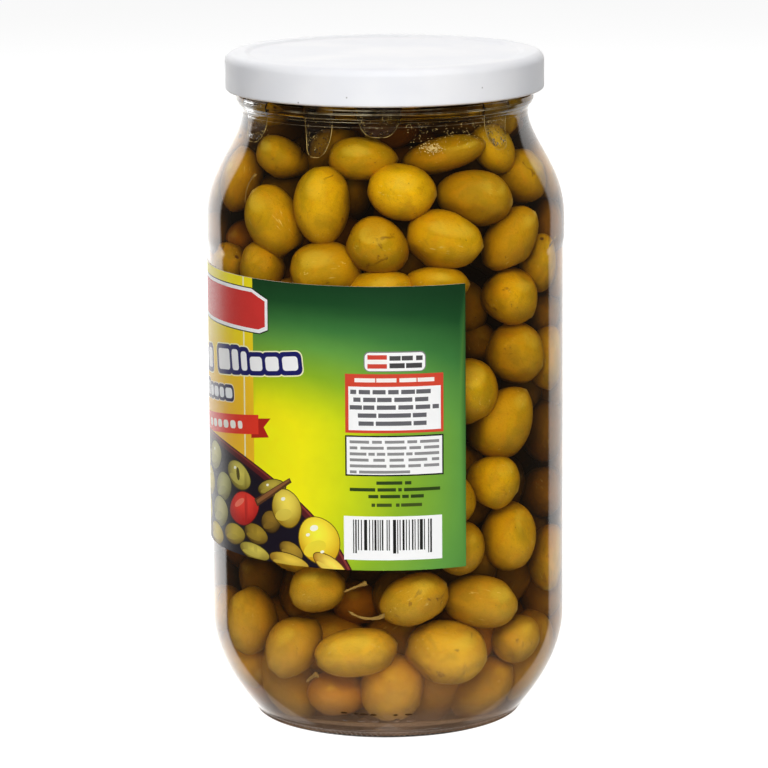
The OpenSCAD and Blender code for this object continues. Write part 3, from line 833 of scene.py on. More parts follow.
def pack_olives(n_fill=330, steps=260):
    """Fills the jar with olives round the front ones, pushing them apart and off the glass until they lie close."""
    pos = [r[0:3] for r in FRONT]
    rot = [quat_matrix(r[6:10]) for r in FRONT]
    half = [r[3:6] for r in FRONT]
    pos[44] = pos[44] + np.array([0, -6.5, 1.2])
    half[44] = half[44] * np.array([1.2, 1.2, 1.0])
    rot[6] = rot[6] * np.array([-1.0, -1.0, 1.0])
    layer = [r[10] for r in FRONT]
    tone = [int(r[11]) for r in FRONT]
    while len(pos) < len(FRONT) + n_fill:
        z = RNG.uniform(12, 200)
        r = math.sqrt(RNG.uniform(0, 1)) * (float(inner_r(min(z, 200))) - 9)
        a = RNG.uniform(0, 2 * math.pi)
        c = np.array([r * math.sin(a), -r * math.cos(a), z])
        front = np.array(pos[: len(FRONT)])
        if np.min(np.linalg.norm(front - c, axis=1)) < 15:
            continue
        wall_near = r > 34
        tangent = np.array([math.cos(a), math.sin(a), 0.0])
        radial = np.array([math.sin(a), -math.cos(a), 0.0])
        q = RNG.uniform(0, math.pi)
        axis = tangent * math.cos(q) + np.array([0, 0, 1.0]) * math.sin(q) + radial * RNG.normal(0, 0.25 if wall_near else 0.8)
        s = RNG.normal(1.0, 0.075)
        pos.append(c)
        rot.append(frame_on(axis, RNG.uniform(0, 6.28)))
        half.append(np.array([11.7 * s * RNG.uniform(0.92, 1.1), 9.0 * s * RNG.uniform(0.93, 1.07), 8.8 * s * RNG.uniform(0.93, 1.07)]))
        layer.append(-1)
        tone.append(int(RNG.choice([0, 1, 1, 1, 2, 2])))
    n_neck = 0
    for k in range(20):
        a = math.radians(36.0 * k - 5 + RNG.uniform(-3, 3)) if k < 10 else math.radians(36.0 * k + 13)
        r, z = (35.2, 204.5 + RNG.uniform(-0.8, 0.8)) if k < 10 else (23.0, 206.0 + RNG.uniform(-1, 1))
        c = np.array([r * math.sin(a), -r * math.cos(a), z])
        if np.min(np.linalg.norm(np.array(pos[: len(FRONT)]) - c, axis=1)) < 11:
            continue
        axis = np.array([math.cos(a), math.sin(a), RNG.normal(0, 0.3)])
        pos.append(c)
        rot.append(frame_on(axis, RNG.uniform(0, 6.28)))
        half.append(np.array([11.4, 8.8, 8.6]) * RNG.normal(1, 0.05))
        layer.append(-1)
        tone.append(2 if k < 10 else 1)
        n_neck += 1
    pos, rot, half = np.array(pos), np.array(rot), np.array(half)
    A = rot * half[:, None, :]
    nf = len(FRONT)
    deep = np.array(layer[:nf]) > 0
    deep[44] = False
    cam = np.array([0, -1466.0, 388.0])
    away = pos[:nf] - cam
    away /= np.linalg.norm(away, axis=1)[:, None]
    mob = np.ones(len(pos))
    mob[:nf] = 0.0
    for step in range(steps):
        if step % 8 == 0:
            d = pos[None] - pos[:, None]
            ii, jj = np.nonzero(np.triu((d**2).sum(2) < 27.0**2, 1))
        dv = pos[jj] - pos[ii]
        dd = np.linalg.norm(dv, axis=1) + 1e-9
        u = dv / dd[:, None]
        reach = np.linalg.norm(np.einsum("nji,nj->ni", A[ii], u), axis=1) + np.linalg.norm(np.einsum("nji,nj->ni", A[jj], u), axis=1)
        pen = np.maximum(0, reach * 0.955 - dd)
        move = np.zeros_like(pos)
        wi, wj = mob[ii], mob[jj]
        tot = np.maximum(wi + wj, 1e-9)
        k = 0.55
        np.add.at(move, ii, -u * (pen * k * wi / tot)[:, None])
        np.add.at(move, jj, u * (pen * k * wj / tot)[:, None])
        # the deeper front ones may only slide away along the line of sight, so that they stay where they show
        push = np.zeros(len(pos))
        np.add.at(push, ii, pen)
        np.add.at(push, jj, pen)
        if step < 60:
            move[:nf][deep] += away[deep] * (0.10 * np.minimum(push[:nf][deep], 2.0))[:, None]
        pos += move
        pos[nf : len(pos) - n_neck, 2] -= 0.012 if step < steps - 40 else 0.0
        rho = np.hypot(pos[:, 0], pos[:, 1]) + 1e-9
        z = np.clip(pos[:, 2], IN_FLOOR + 1, 208)
        slope = (inner_r(z + 0.5) - inner_r(z - 0.5))
        k2 = 1 / np.sqrt(1 + slope**2)
        nrm = np.stack([pos[:, 0] / rho * k2, pos[:, 1] / rho * k2, -slope * k2], 1)
        ext = np.linalg.norm(np.einsum("nji,nj->ni", A, nrm), axis=1)
        over = np.maximum(0, ext + 0.35 - (inner_r(z) - rho) * k2)
        pos[nf:] -= (nrm * over[:, None])[nf:]
        zx = np.linalg.norm(A[:, 2, :], axis=1)
        low = np.maximum(0, floor_z(np.minimum(rho, IN_FOOT)) + 0.5 + zx - pos[:, 2])
        pos[nf:, 2] += low[nf:] * 0.7
        high = np.maximum(0, pos[:, 2] + zx - 213.0)
        pos[nf:, 2] -= high[nf:] * 0.7
    # what has slipped in front of one that should show is taken out
    drop = np.zeros(len(pos), bool)
    for i in range(nf):
        line = pos[i] - cam
        line /= np.linalg.norm(line)
        rel = pos[nf:] - pos[i]
        along = rel @ line
        off = np.linalg.norm(rel - along[:, None] * line, axis=1)
        drop[nf:] |= (along < -3) & (along > -30) & (off < (9.5 if deep[i] else 7.0))
    keep = ~drop
    pos, rot, half, layer, tone = pos[keep], rot[keep], half[keep], np.array(layer)[keep], np.array(tone)[keep]
    # holes left in the heap are filled where that hides nothing
    line = pos[:nf] - cam
    line /= np.linalg.norm(line, axis=1)[:, None]
    for _ in range(9000):
        z = RNG.uniform(16, 196)
        r = RNG.uniform(14, float(inner_r(z)) - 9.4)
        a = RNG.uniform(0, 2 * math.pi)
        c = np.array([r * math.sin(a), -r * math.cos(a), z])
        if np.min(np.linalg.norm(pos - c, axis=1)) < 16.6:
            continue
        rel = c - pos[:nf]
        along = (rel * line).sum(1)
        off = np.linalg.norm(rel - along[:, None] * line, axis=1)
        if np.any((along < -3) & (along > -30) & (off < np.where(deep, 9.5, 7.5))):
            continue
        up_d = np.array([math.cos(a) * 0.5, math.sin(a) * 0.5, 0.85])
        pos = np.concatenate([pos, c[None]])
        rot = np.concatenate([rot, frame_on(up_d, RNG.uniform(0, 6.28))[None]])
        half = np.concatenate([half, (np.array([9.8, 8.5, 8.3]) * RNG.uniform(0.94, 1.04))[None]])
        layer, tone = np.append(layer, -1), np.append(tone, int(RNG.choice([0, 1, 2])))
    return pos, rot, half, layer, tone


POS, ROT, HALF, LAYER, TONE = pack_olives()


def ball(nu, nv):
    """Unit sphere: nv bands along x, nu round it."""
    v = [(1.0, 0, 0)]
    for k in range(1, nv):
        t = math.pi * k / nv
        v += [(math.cos(t), math.sin(t) * math.cos(2 * math.pi * i / nu), math.sin(t) * math.sin(2 * math.pi * i / nu)) for i in range(nu)]
    v.append((-1.0, 0, 0))
    f = [(0, 1 + i, 1 + (i + 1) % nu) for i in range(nu)]
    for k in range(nv - 2):
        a, b = 1 + k * nu, 1 + (k + 1) * nu
        f += [(a + i, b + i, b + (i + 1) % nu, a + (i + 1) % nu) for i in range(nu)]
    last = len(v) - 1
    a = 1 + (nv - 2) * nu
    f += [(a + i, last, a + (i + 1) % nu) for i in range(nu)]
    return np.array(v), f


BALLS = {k: ball(*k) for k in ((34, 22), (24, 17), (14, 10))}


def olive_shape(v, rng, tip=None):
    """Turns the unit sphere into one olive: egg shaped, with a pointed end, a stalk scar, dents and bruised flats."""
    x = v[:, 0]
    egg, point, blunt = rng.normal(0, 0.07), rng.uniform(-0.04, 0.16) if tip is None else tip, rng.uniform(0.0, 0.12)
    radial = (1 + egg * x) * (1 - point * clamp(-x) ** 2) * (1 - 0.35 * point * x**2) * (1 + blunt * (x**2) * (1 - x**2) * 1.6)
    p = v * np.stack([np.ones(len(x)), radial, radial], 1)
    bend = rng.normal(0, 0.03, 2)
    p[:, 1] += bend[0] * x**2
    p[:, 2] += bend[1] * x**2
    swell = np.zeros(len(x))
    for amp, f in ((0.022, 2.2), (0.015, 3.4), (0.007, 6.0), (0.004, 11.0)):
        for _ in range(3):
            k = rng.normal(0, 1, 3)
            k *= f / np.linalg.norm(k)
            swell += amp * np.sin(p @ k + rng.uniform(0, 6.28)) * 0.7
    p *= (1 + swell)[:, None]
    for _ in range(rng.integers(2, 5)):
        d = rng.normal(0, 1, 3)
        d[0] *= 0.6
        d /= np.linalg.norm(d)
        h = rng.uniform(0.86, 0.97)
        e = p @ d - h
        p -= d * (np.where(e > 0, e, 0) * 0.75)[:, None]
    # stalk scar at the +x end, small tip at the other
    q = np.hypot(v[:, 1], v[:, 2])
    p[:, 0] -= np.where(x > 0, 0.07 * np.exp(-((q / 0.16) ** 2)), 0)
    p[:, 0] -= np.where(x < 0, 0.03 * np.exp(-((q / 0.12) ** 2)), 0)
    return p


N_FRONT = len(FRONT)


def build_olives(name, which, detail):
    rng = np.random.default_rng(23)
    verts, faces, local, tint_and_shade = [], [], [], []
    n0 = 0
    for i in which:
        v, f = BALLS[detail(i)]
        tip = 0.2 if i == 6 else None
        p = olive_shape(v, rng, tip)
        w = (p * HALF[i]) @ ROT[i].T + POS[i]
        verts.append(w)
        faces += [tuple(a + n0 for a in q) for q in f]
        off = rng.uniform(-400, 400, 3)
        local.append(p * HALF[i] + off)
        t = TONE[i]
        bright = {0: 0.28, 1: 0.55, 2: 0.85, 3: 0.45}[t] + rng.normal(0, 0.09)
        orange = {0: 0.12, 1: 0.1, 2: 0.05, 3: 0.95}[t] + max(0, rng.normal(0, 0.12))
        bruise = rng.uniform(0, 1)
        # painted shade: olives of the inner piece get a darkening factor of 0.42, kept in the alpha of the tone
        # attribute
        shade = 1.0 if i < N_FRONT or name == "olives_green" else 0.42
        tint_and_shade.append(np.tile([bright, orange, bruise, shade], (len(v), 1)))
        # distance from the stalk end, for the scar
        local[-1] = np.concatenate([local[-1], v[:, :1], np.hypot(v[:, 1], v[:, 2])[:, None]], 1)
        n0 += len(v)
    V, L, T = np.concatenate(verts), np.concatenate(local), np.concatenate(tint_and_shade)
    ob = make_mesh(name, V * MM, faces)
    me = ob.data
    a = me.attributes.new("grain", "FLOAT_VECTOR", "POINT")
    a.data.foreach_set("vector", L[:, :3].astype(np.float32).ravel())
    a = me.attributes.new("tone", "FLOAT_COLOR", "POINT")
    a.data.foreach_set("color", T.astype(np.float32).ravel())
    # how far each point lies in from the glass: light hardly gets down between the olives
    sunk = inner_r(np.clip(V[:, 2], IN_FLOOR + 1, 206)) - np.hypot(V[:, 0], V[:, 1])
    a = me.attributes.new("depth", "FLOAT", "POINT")
    a.data.foreach_set("value", sunk.astype(np.float32))
    a = me.attributes.new("scar", "FLOAT", "POINT")
    a.data.foreach_set("value", np.where(L[:, 3] > 0, L[:, 4], 9.0).astype(np.float32))
    a = me.attributes.new("tip", "FLOAT", "POINT")
    a.data.foreach_set("value", np.where(L[:, 3] < 0, L[:, 4], 9.0).astype(np.float32))
    return ob


RHO = np.hypot(POS[:, 0], POS[:, 1])
OUTER = [i for i in range(len(POS)) if TONE[i] != 3 and (i < N_FRONT or RHO[i] > 36 or POS[i, 2] > 188)]
INNER = [i for i in range(len(POS)) if i not in set(OUTER) and (i < N_FRONT or RHO[i] > 15)]
for i in INNER:
    if i >= N_FRONT:
        TONE[i] = 3 if RNG.uniform() < 0.2 and POS[i, 2] < 185 else 0
olives = build_olives("olives_green", OUTER, lambda i: (34, 22) if i < N_FRONT else (24, 17))
amber_shaded = build_olives("olives_amber_shaded", INNER, lambda i: (34, 22) if i < N_FRONT else (14, 10))

m, g = material("olive_skin")
gr = g.new("ShaderNodeAttribute", _attribute_name="grain")
tn = g.new("ShaderNodeAttribute", _attribute_name="tone")
sc = g.new("ShaderNodeAttribute", _attribute_name="scar")
st = g.new("ShaderNodeSeparateColor")
g.put(st.inputs[0], tn.outputs["Color"])
bright, orange, bruise = st.outputs[0], st.outputs[1], st.outputs[2]
tp = g.new("ShaderNodeAttribute", _attribute_name="tip")
tc = g.new("ShaderNodeTexCoord")
sep = g.new("ShaderNodeSeparateXYZ")
g.put(sep.inputs[0], tc.outputs["Object"])
height = sep.outputs["Z"]
V = gr.outputs["Vector"]


def stretched(x, y, z):
    n = g.new("ShaderNodeMapping")
    g.put(n.inputs["Vector"], V)
    n.inputs["Scale"].default_value = (x, y, z)
    return n.outputs["Vector"]


col = g.mix(bright, srgb(140, 101, 2), srgb(234, 178, 3))
n1 = g.noise(V, 0.14, 3, 0.5, 0.5)
col = g.mix(g.ramp(n1, 0.38, 0.7, 0, 0.5), col, srgb(150, 126, 4))  # broad greener patches
n2 = g.noise(V, 0.22, 3, 0.55, 0.6)
col = g.mix(g.ramp(n2, 0.45, 0.72, 0, 0.42), col, srgb(210, 142, 5))  # and warmer ones
col = g.mix(g.math("MULTIPLY", orange, 0.8), col, srgb(212, 132, 8))
n3 = g.noise(V, 0.19, 5, 0.62, 0.9)
spots = g.ramp(n3, 0.6, 0.72, 0, 0.8)
col = g.mix(g.math("MULTIPLY", spots, g.ramp(bruise, 0.25, 1.0, 0.08, 0.95)), col, srgb(104, 56, 8))  # bruises
fine = g.noise(V, 1.7, 4, 0.62)
col = g.mix(g.ramp(fine, 0.5, 0.8, 0, 0.34), col, srgb(112, 80, 4))
col = g.mix(g.ramp(fine, 0.42, 0.25, 0, 0.16), col, srgb(224, 196, 70))
streak = g.noise(stretched(0.22, 1.5, 1.5), 1.0, 3, 0.55)
rub = g.math("MULTIPLY", g.ramp(streak, 0.6, 0.7, 0, 0.75), g.ramp(g.noise(V, 0.13, 2, 0.5), 0.55, 0.66, 0, 1))
col = g.mix(rub, col, srgb(226, 194, 96))  # pale rubbed streaks
speck = g.voronoi(V, 0.5)
pit = g.math("MULTIPLY", g.ramp(speck, 0.13, 0.05, 0, 0.75), g.ramp(g.noise(V, 0.3, 2, 0.5), 0.52, 0.62, 0, 1))
col = g.mix(pit, col, srgb(84, 48, 10))
crack = g.voronoi(V, 0.06, "DISTANCE_TO_EDGE")
line = g.math("MULTIPLY", g.ramp(crack, 0.03, 0.0, 0, 0.6), g.ramp(g.noise(V, 0.16, 2, 0.5), 0.58, 0.68, 0, 1))
col = g.mix(g.math("MULTIPLY", line, 0.35), col, srgb(150, 100, 10))
col = g.mix(g.ramp(tp.outputs["Fac"], 0.34, 0.05, 0, 0.45), col, srgb(232, 206, 118))
col = g.mix(g.ramp(sc.outputs["Fac"], 0.15, 0.06, 0, 0.85), col, srgb(86, 46, 10))
col = g.mix(g.ramp(height, 0.08, 0.004, 0, 0.42), col, srgb(158, 124, 74))  # milkier towards the bottom
# painted light and shade: olives under the lid are painted a little darker, those low in the jar a little brighter
painted_light_and_shade = g.math("MULTIPLY", g.ramp(height, 0.19, 0.21, 1.0, 0.92, False), g.ramp(height, 0.085, 0.01, 1.0, 1.2))
# painted shade: the inner piece is darkened by the tone attribute's alpha, less so near the bottom
painted_inner_shade = g.math("MAXIMUM", tn.outputs["Alpha"], g.ramp(height, 0.1, 0.03, 0.0, 1.0))
painted_light_and_shade = g.math("MULTIPLY", painted_light_and_shade, painted_inner_shade)
# painted shade: darker the further a point lies in from the glass, less so near the bottom
deep = g.new("ShaderNodeAttribute", _attribute_name="depth")
sunk = g.ramp(deep.outputs["Fac"], 4.0, 20.0, 1.0, 0.32)
sunk = g.math("MAXIMUM", sunk, g.ramp(height, 0.09, 0.02, 0.0, 0.92))
painted_light_and_shade = g.math("MULTIPLY", painted_light_and_shade, sunk)
# painted light and shade: each olive is painted brightest up and outwards, as if lit by the softboxes
geo = g.new("ShaderNodeNewGeometry")
sn_ = g.new("ShaderNodeSeparateXYZ")
g.put(sn_.inputs[0], geo.outputs["Normal"])
span = g.math("SQRT", g.math("ADD", g.math("MULTIPLY", sep.outputs["X"], sep.outputs["X"]), g.math("ADD", g.math("MULTIPLY", sep.outputs["Y"], sep.outputs["Y"]), 1e-7)))
outward = g.math("DIVIDE", g.math("ADD", g.math("MULTIPLY", sep.outputs["X"], sn_.outputs["X"]), g.math("MULTIPLY", sep.outputs["Y"], sn_.outputs["Y"])), span)
lit = g.math("ADD", g.math("MULTIPLY", outward, 0.83), g.math("MULTIPLY", sn_.outputs["Z"], 0.55))
# painted light: olives low in the jar are painted brighter
painted_light_and_shade = g.math("MULTIPLY", painted_light_and_shade, g.ramp(height, 0.05, 0.008, 1.0, 1.28))
# painted shade: darker where an olive faces down and inwards
painted_light_and_shade = g.math("MULTIPLY", painted_light_and_shade, g.ramp(lit, -0.1, 0.95, 0.66, 1.12))
# painted highlight where an olive faces up and outwards
col = g.mix(g.math("MULTIPLY", g.ramp(lit, 0.9, 1.0, 0, 0.3), g.ramp(n1, 0.35, 0.6, 0.2, 1.0)), col, srgb(252, 214, 70))
col = g.mix(1.0, col, painted_light_and_shade, "MULTIPLY")
p = principled(g, **{"Base Color": col, "Roughness": g.ramp(fine, 0.3, 0.7, 0.34, 0.48), "IOR": 1.45, "Specular IOR Level": 0.3})
h1 = g.bump(fine, 0.18, 0.0002)
h2 = g.bump(n2, 0.4, 0.001, h1)
h3 = g.bump(crack, 0.16, 0.0012, h2)
h4 = g.bump(pit, 0.6, -0.0003, h3)
g.put(p.inputs["Normal"], h4)
finish_surface(m, g, p.outputs[0])
paint(olives, m)
paint(amber_shaded, m)
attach(olives, "root"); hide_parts("olives")
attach(amber_shaded, "root")

# a dark uneven core stands in for the shade deep in the heap, so that nothing shines through between the olives; it is
# painted near black, lighter brown towards the bottom
cp = [(0, 11), (20, 11), (30, 11.6), (32, 13), (29, 15.5)] + [(19 + 3 * math.sin(z * 0.31), z) for z in np.linspace(18, 188, 42)] + [(0, 190)]
core = revolve("heap_core", cp, 36, warp=lambda r, z, a: r + 2.2 * np.sin(4 * a + z * 0.2) + 1.4 * np.sin(7 * a - z * 0.13), sharp=None)
m, g = material("heap_core_painted_shade")
tc = g.new("ShaderNodeTexCoord")
sep = g.new("ShaderNodeSeparateXYZ")
g.put(sep.inputs[0], tc.outputs["Object"])
tc_z = sep.outputs["Z"]
p = principled(g, **{"Base Color": g.mix(g.ramp(tc_z, 0.03, 0.1), srgb(170, 132, 92), srgb(16, 9, 2)), "Roughness": 0.6})
finish_surface(m, g, p.outputs[0])
paint(core, m)
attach(core, "root")


# ---------------------------------------------------------------- brine
DIPS = ((-65, 8.5, 192.4), (-28, 5.8, 190.4), (-2.5, 8.0, 197.4), (51.5, 6.6, 190.8), (95, 9, 192.0), (130, 5, 190.4), (160, 7, 194.0), (-170, 6, 191.0), (-140, 9, 193.0), (-104, 6, 190.5))


def brine_edge(deg):
    """Height of the wet line on the glass: drawn up between glass and olives, low where air is caught."""
    q = np.radians(deg)
    high = 206.4 + 0.5 * np.sin(3 * q + 1) + 0.3 * np.sin(8 * q + 2) + 0.2 * np.sin(17 * q)
    out = high.copy()
    for c, w, z in DIPS:
        d = (deg - c + 180) % 360 - 180
        out = np.minimum(out, high - (high - z) * clamp(1 - (np.abs(d) / (w * 1.12)) ** 3.2) ** 0.6)
    return out


def brine_height(x, y, wall, edge):
    """The liquid's surface: level, drawn up at the glass and round each olive that stands in it."""
    near = np.full(x.shape, 60.0)
    for i in np.nonzero(POS[:, 2] + HALF.max(1) > BRINE_Z - 4)[0]:
        inv = (ROT[i] / HALF[i][None, :]).T
        d = np.stack([x - POS[i, 0], y - POS[i, 1], np.full(x.shape, BRINE_Z + 2 - POS[i, 2])], -1)
        near = np.minimum(near, (np.linalg.norm(d @ inv.T, axis=-1) - 1) * HALF[i].mean())
    near = np.maximum(near, 0)
    return BRINE_Z + 2.2 * np.exp(-near / 2.0) + (edge - BRINE_Z) * np.exp(-((wall / np.where(edge < BRINE_Z, 0.5, 1.1)) ** 1.2))


def build_brine(n=480):
    a = np.arange(n) * 2 * math.pi / n
    sn, cs = np.sin(a), -np.cos(a)
    into = 0.25
    verts, faces = [], []
    rings = []

    def ring(r, z):
        rings.append(len(verts))
        r, z = np.broadcast_to(r, n), np.broadcast_to(z, n)
        verts.extend(zip(r * sn * MM, r * cs * MM, z * MM))

    verts.append((0, 0, (IN_FLOOR + PUSH_UP * 0.65 - into) * MM))
    for i in range(1, 9):
        r = IN_FOOT * i / 8.5
        ring(r, float(floor_z(r)) - into)
    for z in np.linspace(IN_FLOOR + 0.2, IN_HEEL, 26):
        ring(float(inner_r(z)) + into, z - into * 0.5)
    for z in np.linspace(IN_HEEL + 5, SHOULDER_Z - 2, 18):
        ring(float(inner_r(z)) + into, z)
    edge = brine_edge(np.degrees(a))
    for k in range(1, 31):
        z = SHOULDER_Z - 2 + (edge - SHOULDER_Z + 2) * k / 30
        ring(inner_r(z) + into, z)
    r0 = inner_r(edge)
    for w in (0.05, 0.15, 0.28, 0.42, 0.6, 0.82, 1.1, 1.5, 2.0, 2.7, 3.6, 5.0, 7.0, 9.5, 12.5, 16.0, 20.0, 25.0, 30.0, 36.0, 41.0):
        h = brine_height((r0 - w) * sn, (r0 - w) * cs, np.full(n, w), edge)
        # the wet line leans on the glass, so the surface has to stay inside it
        ring(np.minimum(r0 - w, inner_r(h) - w * 0.2), h)
    last = len(verts)
    verts.append((0, 0, BRINE_Z * MM))
    m0 = rings[0]
    faces += [(0, m0 + i, m0 + (i + 1) % n) for i in range(n)]
    for p0, p1 in zip(rings[:-1], rings[1:]):
        faces += [(p0 + i, p1 + i, p1 + (i + 1) % n, p0 + (i + 1) % n) for i in range(n)]
    p0 = rings[-1]
    faces += [(p0 + i, last, p0 + (i + 1) % n) for i in range(n)]
    ob = make_mesh("brine_liquid", verts, faces)
    ob.data.flip_normals()
    return ob


brine = build_brine()
TEA = ((0.84, 0.70, 0.34), 64.0)
liquid = clear_material("brine_surface", (1.0, 1.0, 1.0), 1.34, (1.0, 1.0, 1.0), volume=TEA)
wet_liquid = wet_material("brine_wet", (1.0, 1.0, 1.0), 1.34, volume=TEA)
paint(brine, liquid, wet_liquid)
assign(brine, 1, lambda c, n: np.hypot(c[:, 0], c[:, 1]) > inner_r(c[:, 2]) + 0.12)
assign(brine, 1, lambda c, n: c[:, 2] < 20)
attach(brine, "root"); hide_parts("brine")


def on_glass(c, n):
    inside = np.hypot(c[:, 0], c[:, 1]) < outer_r(np.maximum(c[:, 2], 0)) - 1.4
    return inside & (c[:, 2] > IN_FLOOR - 0.3) & (c[:, 2] < brine_edge(np.degrees(np.arctan2(c[:, 0], -c[:, 1]))))


assign(jar, 1, on_glass)

# drops on the dry glass of the neck, and froth at the wet line, its specks painted pale as a painted sparkle
def build_drops(name, spots, rng, nu=10, nv=4):
    verts, faces = [], []
    for deg, z, r, flatness in spots:
        q = math.radians(deg)
        out = np.array([math.sin(q), -math.cos(q), 0.0])
        side = np.array([math.cos(q), math.sin(q), 0.0])
        slope = float(inner_r(z + 0.5) - inner_r(z - 0.5))
        up = np.array([0, 0, 1.0]) + out * slope
        up /= np.linalg.norm(up)
        nrm = np.cross(side, up)
        if nrm @ out < 0:
            nrm = -nrm
        c = out * (float(inner_r(z)) + 0.06) + np.array([0, 0, z])
        n0 = len(verts)
        verts.append(c - nrm * (r * flatness + 0.06))
        wob = rng.uniform(0, 6.28)
        for k in range(1, nv + 1):
            t = math.pi / 2 * k / nv
            for i in range(nu):
                f = 2 * math.pi * i / nu
                rr = r * math.sin(t) * (1 + 0.1 * math.sin(2 * f + wob))
                verts.append(c + side * rr * math.cos(f) + up * rr * math.sin(f) * 1.12 - nrm * (r * flatness * math.cos(t) + 0.06 * (k < nv)))
        verts.append(c + nrm * 0.02)
        faces += [(n0, n0 + 1 + i, n0 + 1 + (i + 1) % nu) for i in range(nu)]
        for k in range(nv - 1):
            a_, b_ = n0 + 1 + k * nu, n0 + 1 + (k + 1) * nu
            faces += [(a_ + i, b_ + i, b_ + (i + 1) % nu, a_ + (i + 1) % nu) for i in range(nu)]
        a_ = n0 + 1 + (nv - 1) * nu
        faces += [(a_ + i, len(verts) - 1, a_ + (i + 1) % nu) for i in range(nu)]
    return make_mesh(name, np.array(verts) * MM, faces)


drop_rng = np.random.default_rng(41)
spots, froth = [], []
while len(spots) < 420:
    deg = drop_rng.uniform(-180, 180) if drop_rng.uniform() < 0.6 else drop_rng.normal(34, 13)
    wet = float(brine_edge(np.array([deg]))[0])
    z = wet + 0.8 + drop_rng.exponential(4.0)
    if z < 213:
        spots.append((deg, z, drop_rng.uniform(0.14, 0.34) + (0.35 if drop_rng.uniform() < 0.08 else 0), drop_rng.uniform(0.35, 0.6)))
for c, w, z0 in DIPS:
    for _ in range(26):
        deg = c + drop_rng.uniform(-w, w)
        z = float(brine_edge(np.array([deg]))[0]) + drop_rng.uniform(0.3, 8.0)
        if z < 207:
            spots.append((deg, z, drop_rng.uniform(0.12, 0.3), 0.5))
# a patch of pale froth specks: painted sparkle
for _ in range(170):
    froth.append((drop_rng.normal(19, 2.1), drop_rng.normal(193.4, 0.8), drop_rng.uniform(0.09, 0.2), 0.8))
for _ in range(170):
    froth.append((drop_rng.uniform(8, 52), drop_rng.uniform(193.5, 203.0), drop_rng.uniform(0.07, 0.15), 0.8))
for c in (36.0, 48.0, -58.0, 92.0, -150.0, 170.0, 128.0):
    for _ in range(26):
        froth.append((c + drop_rng.normal(0, 3.0), drop_rng.normal(196.0, 2.2), drop_rng.uniform(0.06, 0.14), 0.8))
for c, w, z0 in DIPS:
    n_ = 0
    while n_ < 34:
        deg, z = c + drop_rng.uniform(-w, w) * 1.1, drop_rng.uniform(z0, 205.0)
        if z > float(brine_edge(np.array([deg]))[0]) + 0.15:
            froth.append((deg, z, drop_rng.uniform(0.06, 0.15), 0.8))
            n_ += 1
drops = build_drops("brine_drops", spots, drop_rng)
paint(drops, clear_material("drop", (1.0, 1.0, 1.0), 1.34, (1.0, 1.0, 1.0)))
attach(drops, "root")
froth_glint_specks = build_drops("brine_froth", froth, drop_rng, 8, 3)
# froth specks painted pale gold: froth with a painted sparkle
m, g = material("froth")
tc = g.new("ShaderNodeTexCoord")
p = principled(g, **{"Base Color": g.mix(g.noise(tc.outputs["Object"], 700, 2), srgb(206, 164, 84), srgb(252, 224, 150)), "Roughness": 0.25, "IOR": 1.34})
finish_surface(m, g, p.outputs[0])
paint(froth_glint_specks, m)
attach(froth_glint_specks, "root")



def build_threads(name, runs, nu=6):
    """Thin round threads, each along a row of (point, radius)."""
    verts, faces = [], []
    for run, closed in runs:
        pts, rad = np.array([q for q, _ in run]), [q for _, q in run]
        n, n0 = len(pts), len(verts)
        for k in range(n):
            ahead = pts[(k + 1) % n] if closed or k < n - 1 else pts[k]
            behind = pts[k - 1] if closed or k > 0 else pts[k]
            along = (ahead - behind) / np.linalg.norm(ahead - behind)
            out_d = np.array([pts[k][0], pts[k][1], 0.0])
            out_d /= np.linalg.norm(out_d)
            side_d = np.cross(along, out_d)
            side_d /= np.linalg.norm(side_d)
            out_d = np.cross(side_d, along)
            for i in range(nu):
                f = 2 * math.pi * i / nu
                verts.append(pts[k] + rad[k] * (out_d * math.cos(f) + side_d * math.sin(f)))
        for k in range(n if closed else n - 1):
            a_, b_ = n0 + k * nu, n0 + ((k + 1) % n) * nu
            faces += [(a_ + i, a_ + (i + 1) % nu, b_ + (i + 1) % nu, b_ + i) for i in range(nu)]
        if not closed:
            a_ = n0 + (n - 1) * nu
            faces += [tuple(n0 + i for i in range(nu))[::-1], tuple(a_ + i for i in range(nu))]
    return make_mesh(name, np.array(verts) * MM, faces)


# the wet rims of the pockets of air caught against the glass, coloured pale gold as a painted highlight, and thin rings
# along the mould seams round the neck, painted as bright glints
runs = []
for c, w, z0 in DIPS:
    run = []
    for deg in np.linspace(c - w * 1.1, c + w * 1.1, 61):
        z = float(brine_edge(np.array([deg]))[0])
        if z < 204.0:
            q = math.radians(deg)
            r = float(inner_r(z)) - 0.06
            run.append((np.array([r * math.sin(q), -r * math.cos(q), z]), 0.075 + 0.045 * math.sin(deg * 1.3)))
    if len(run) > 4:
        runs.append((run, False))
rims = build_threads("pocket_rims", runs)
runs = []
for z, thick, turn in ((201.0, 0.05, 0.4), (202.6, 0.07, 2.1), (203.8, 0.08, 4.0), (205.2, 0.13, 1.2), (206.3, 0.08, 5.1)):
    run = []
    for k in range(240):
        q = 2 * math.pi * k / 240
        r = float(outer_r(z)) + 0.02
        run.append((np.array([r * math.sin(q), -r * math.cos(q), z + 0.1 * math.sin(2 * q + turn)]), thick * (0.75 + 0.3 * math.sin(3 * q + turn) + 0.2 * math.sin(11 * q + 2 * turn))))
    runs.append((run, True))
seam_glints = build_threads("neck_seam_glints", runs)
# painted highlight along the wet rims
m, g = material("wet_rim_painted_highlight")
tc = g.new("ShaderNodeTexCoord")
p = principled(g, **{"Base Color": g.mix(g.noise(tc.outputs["Object"], 300, 2), srgb(170, 132, 60), srgb(238, 206, 130)), "Roughness": 0.25, "IOR": 1.34})
finish_surface(m, g, p.outputs[0])
paint(rims, m)
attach(rims, "root")
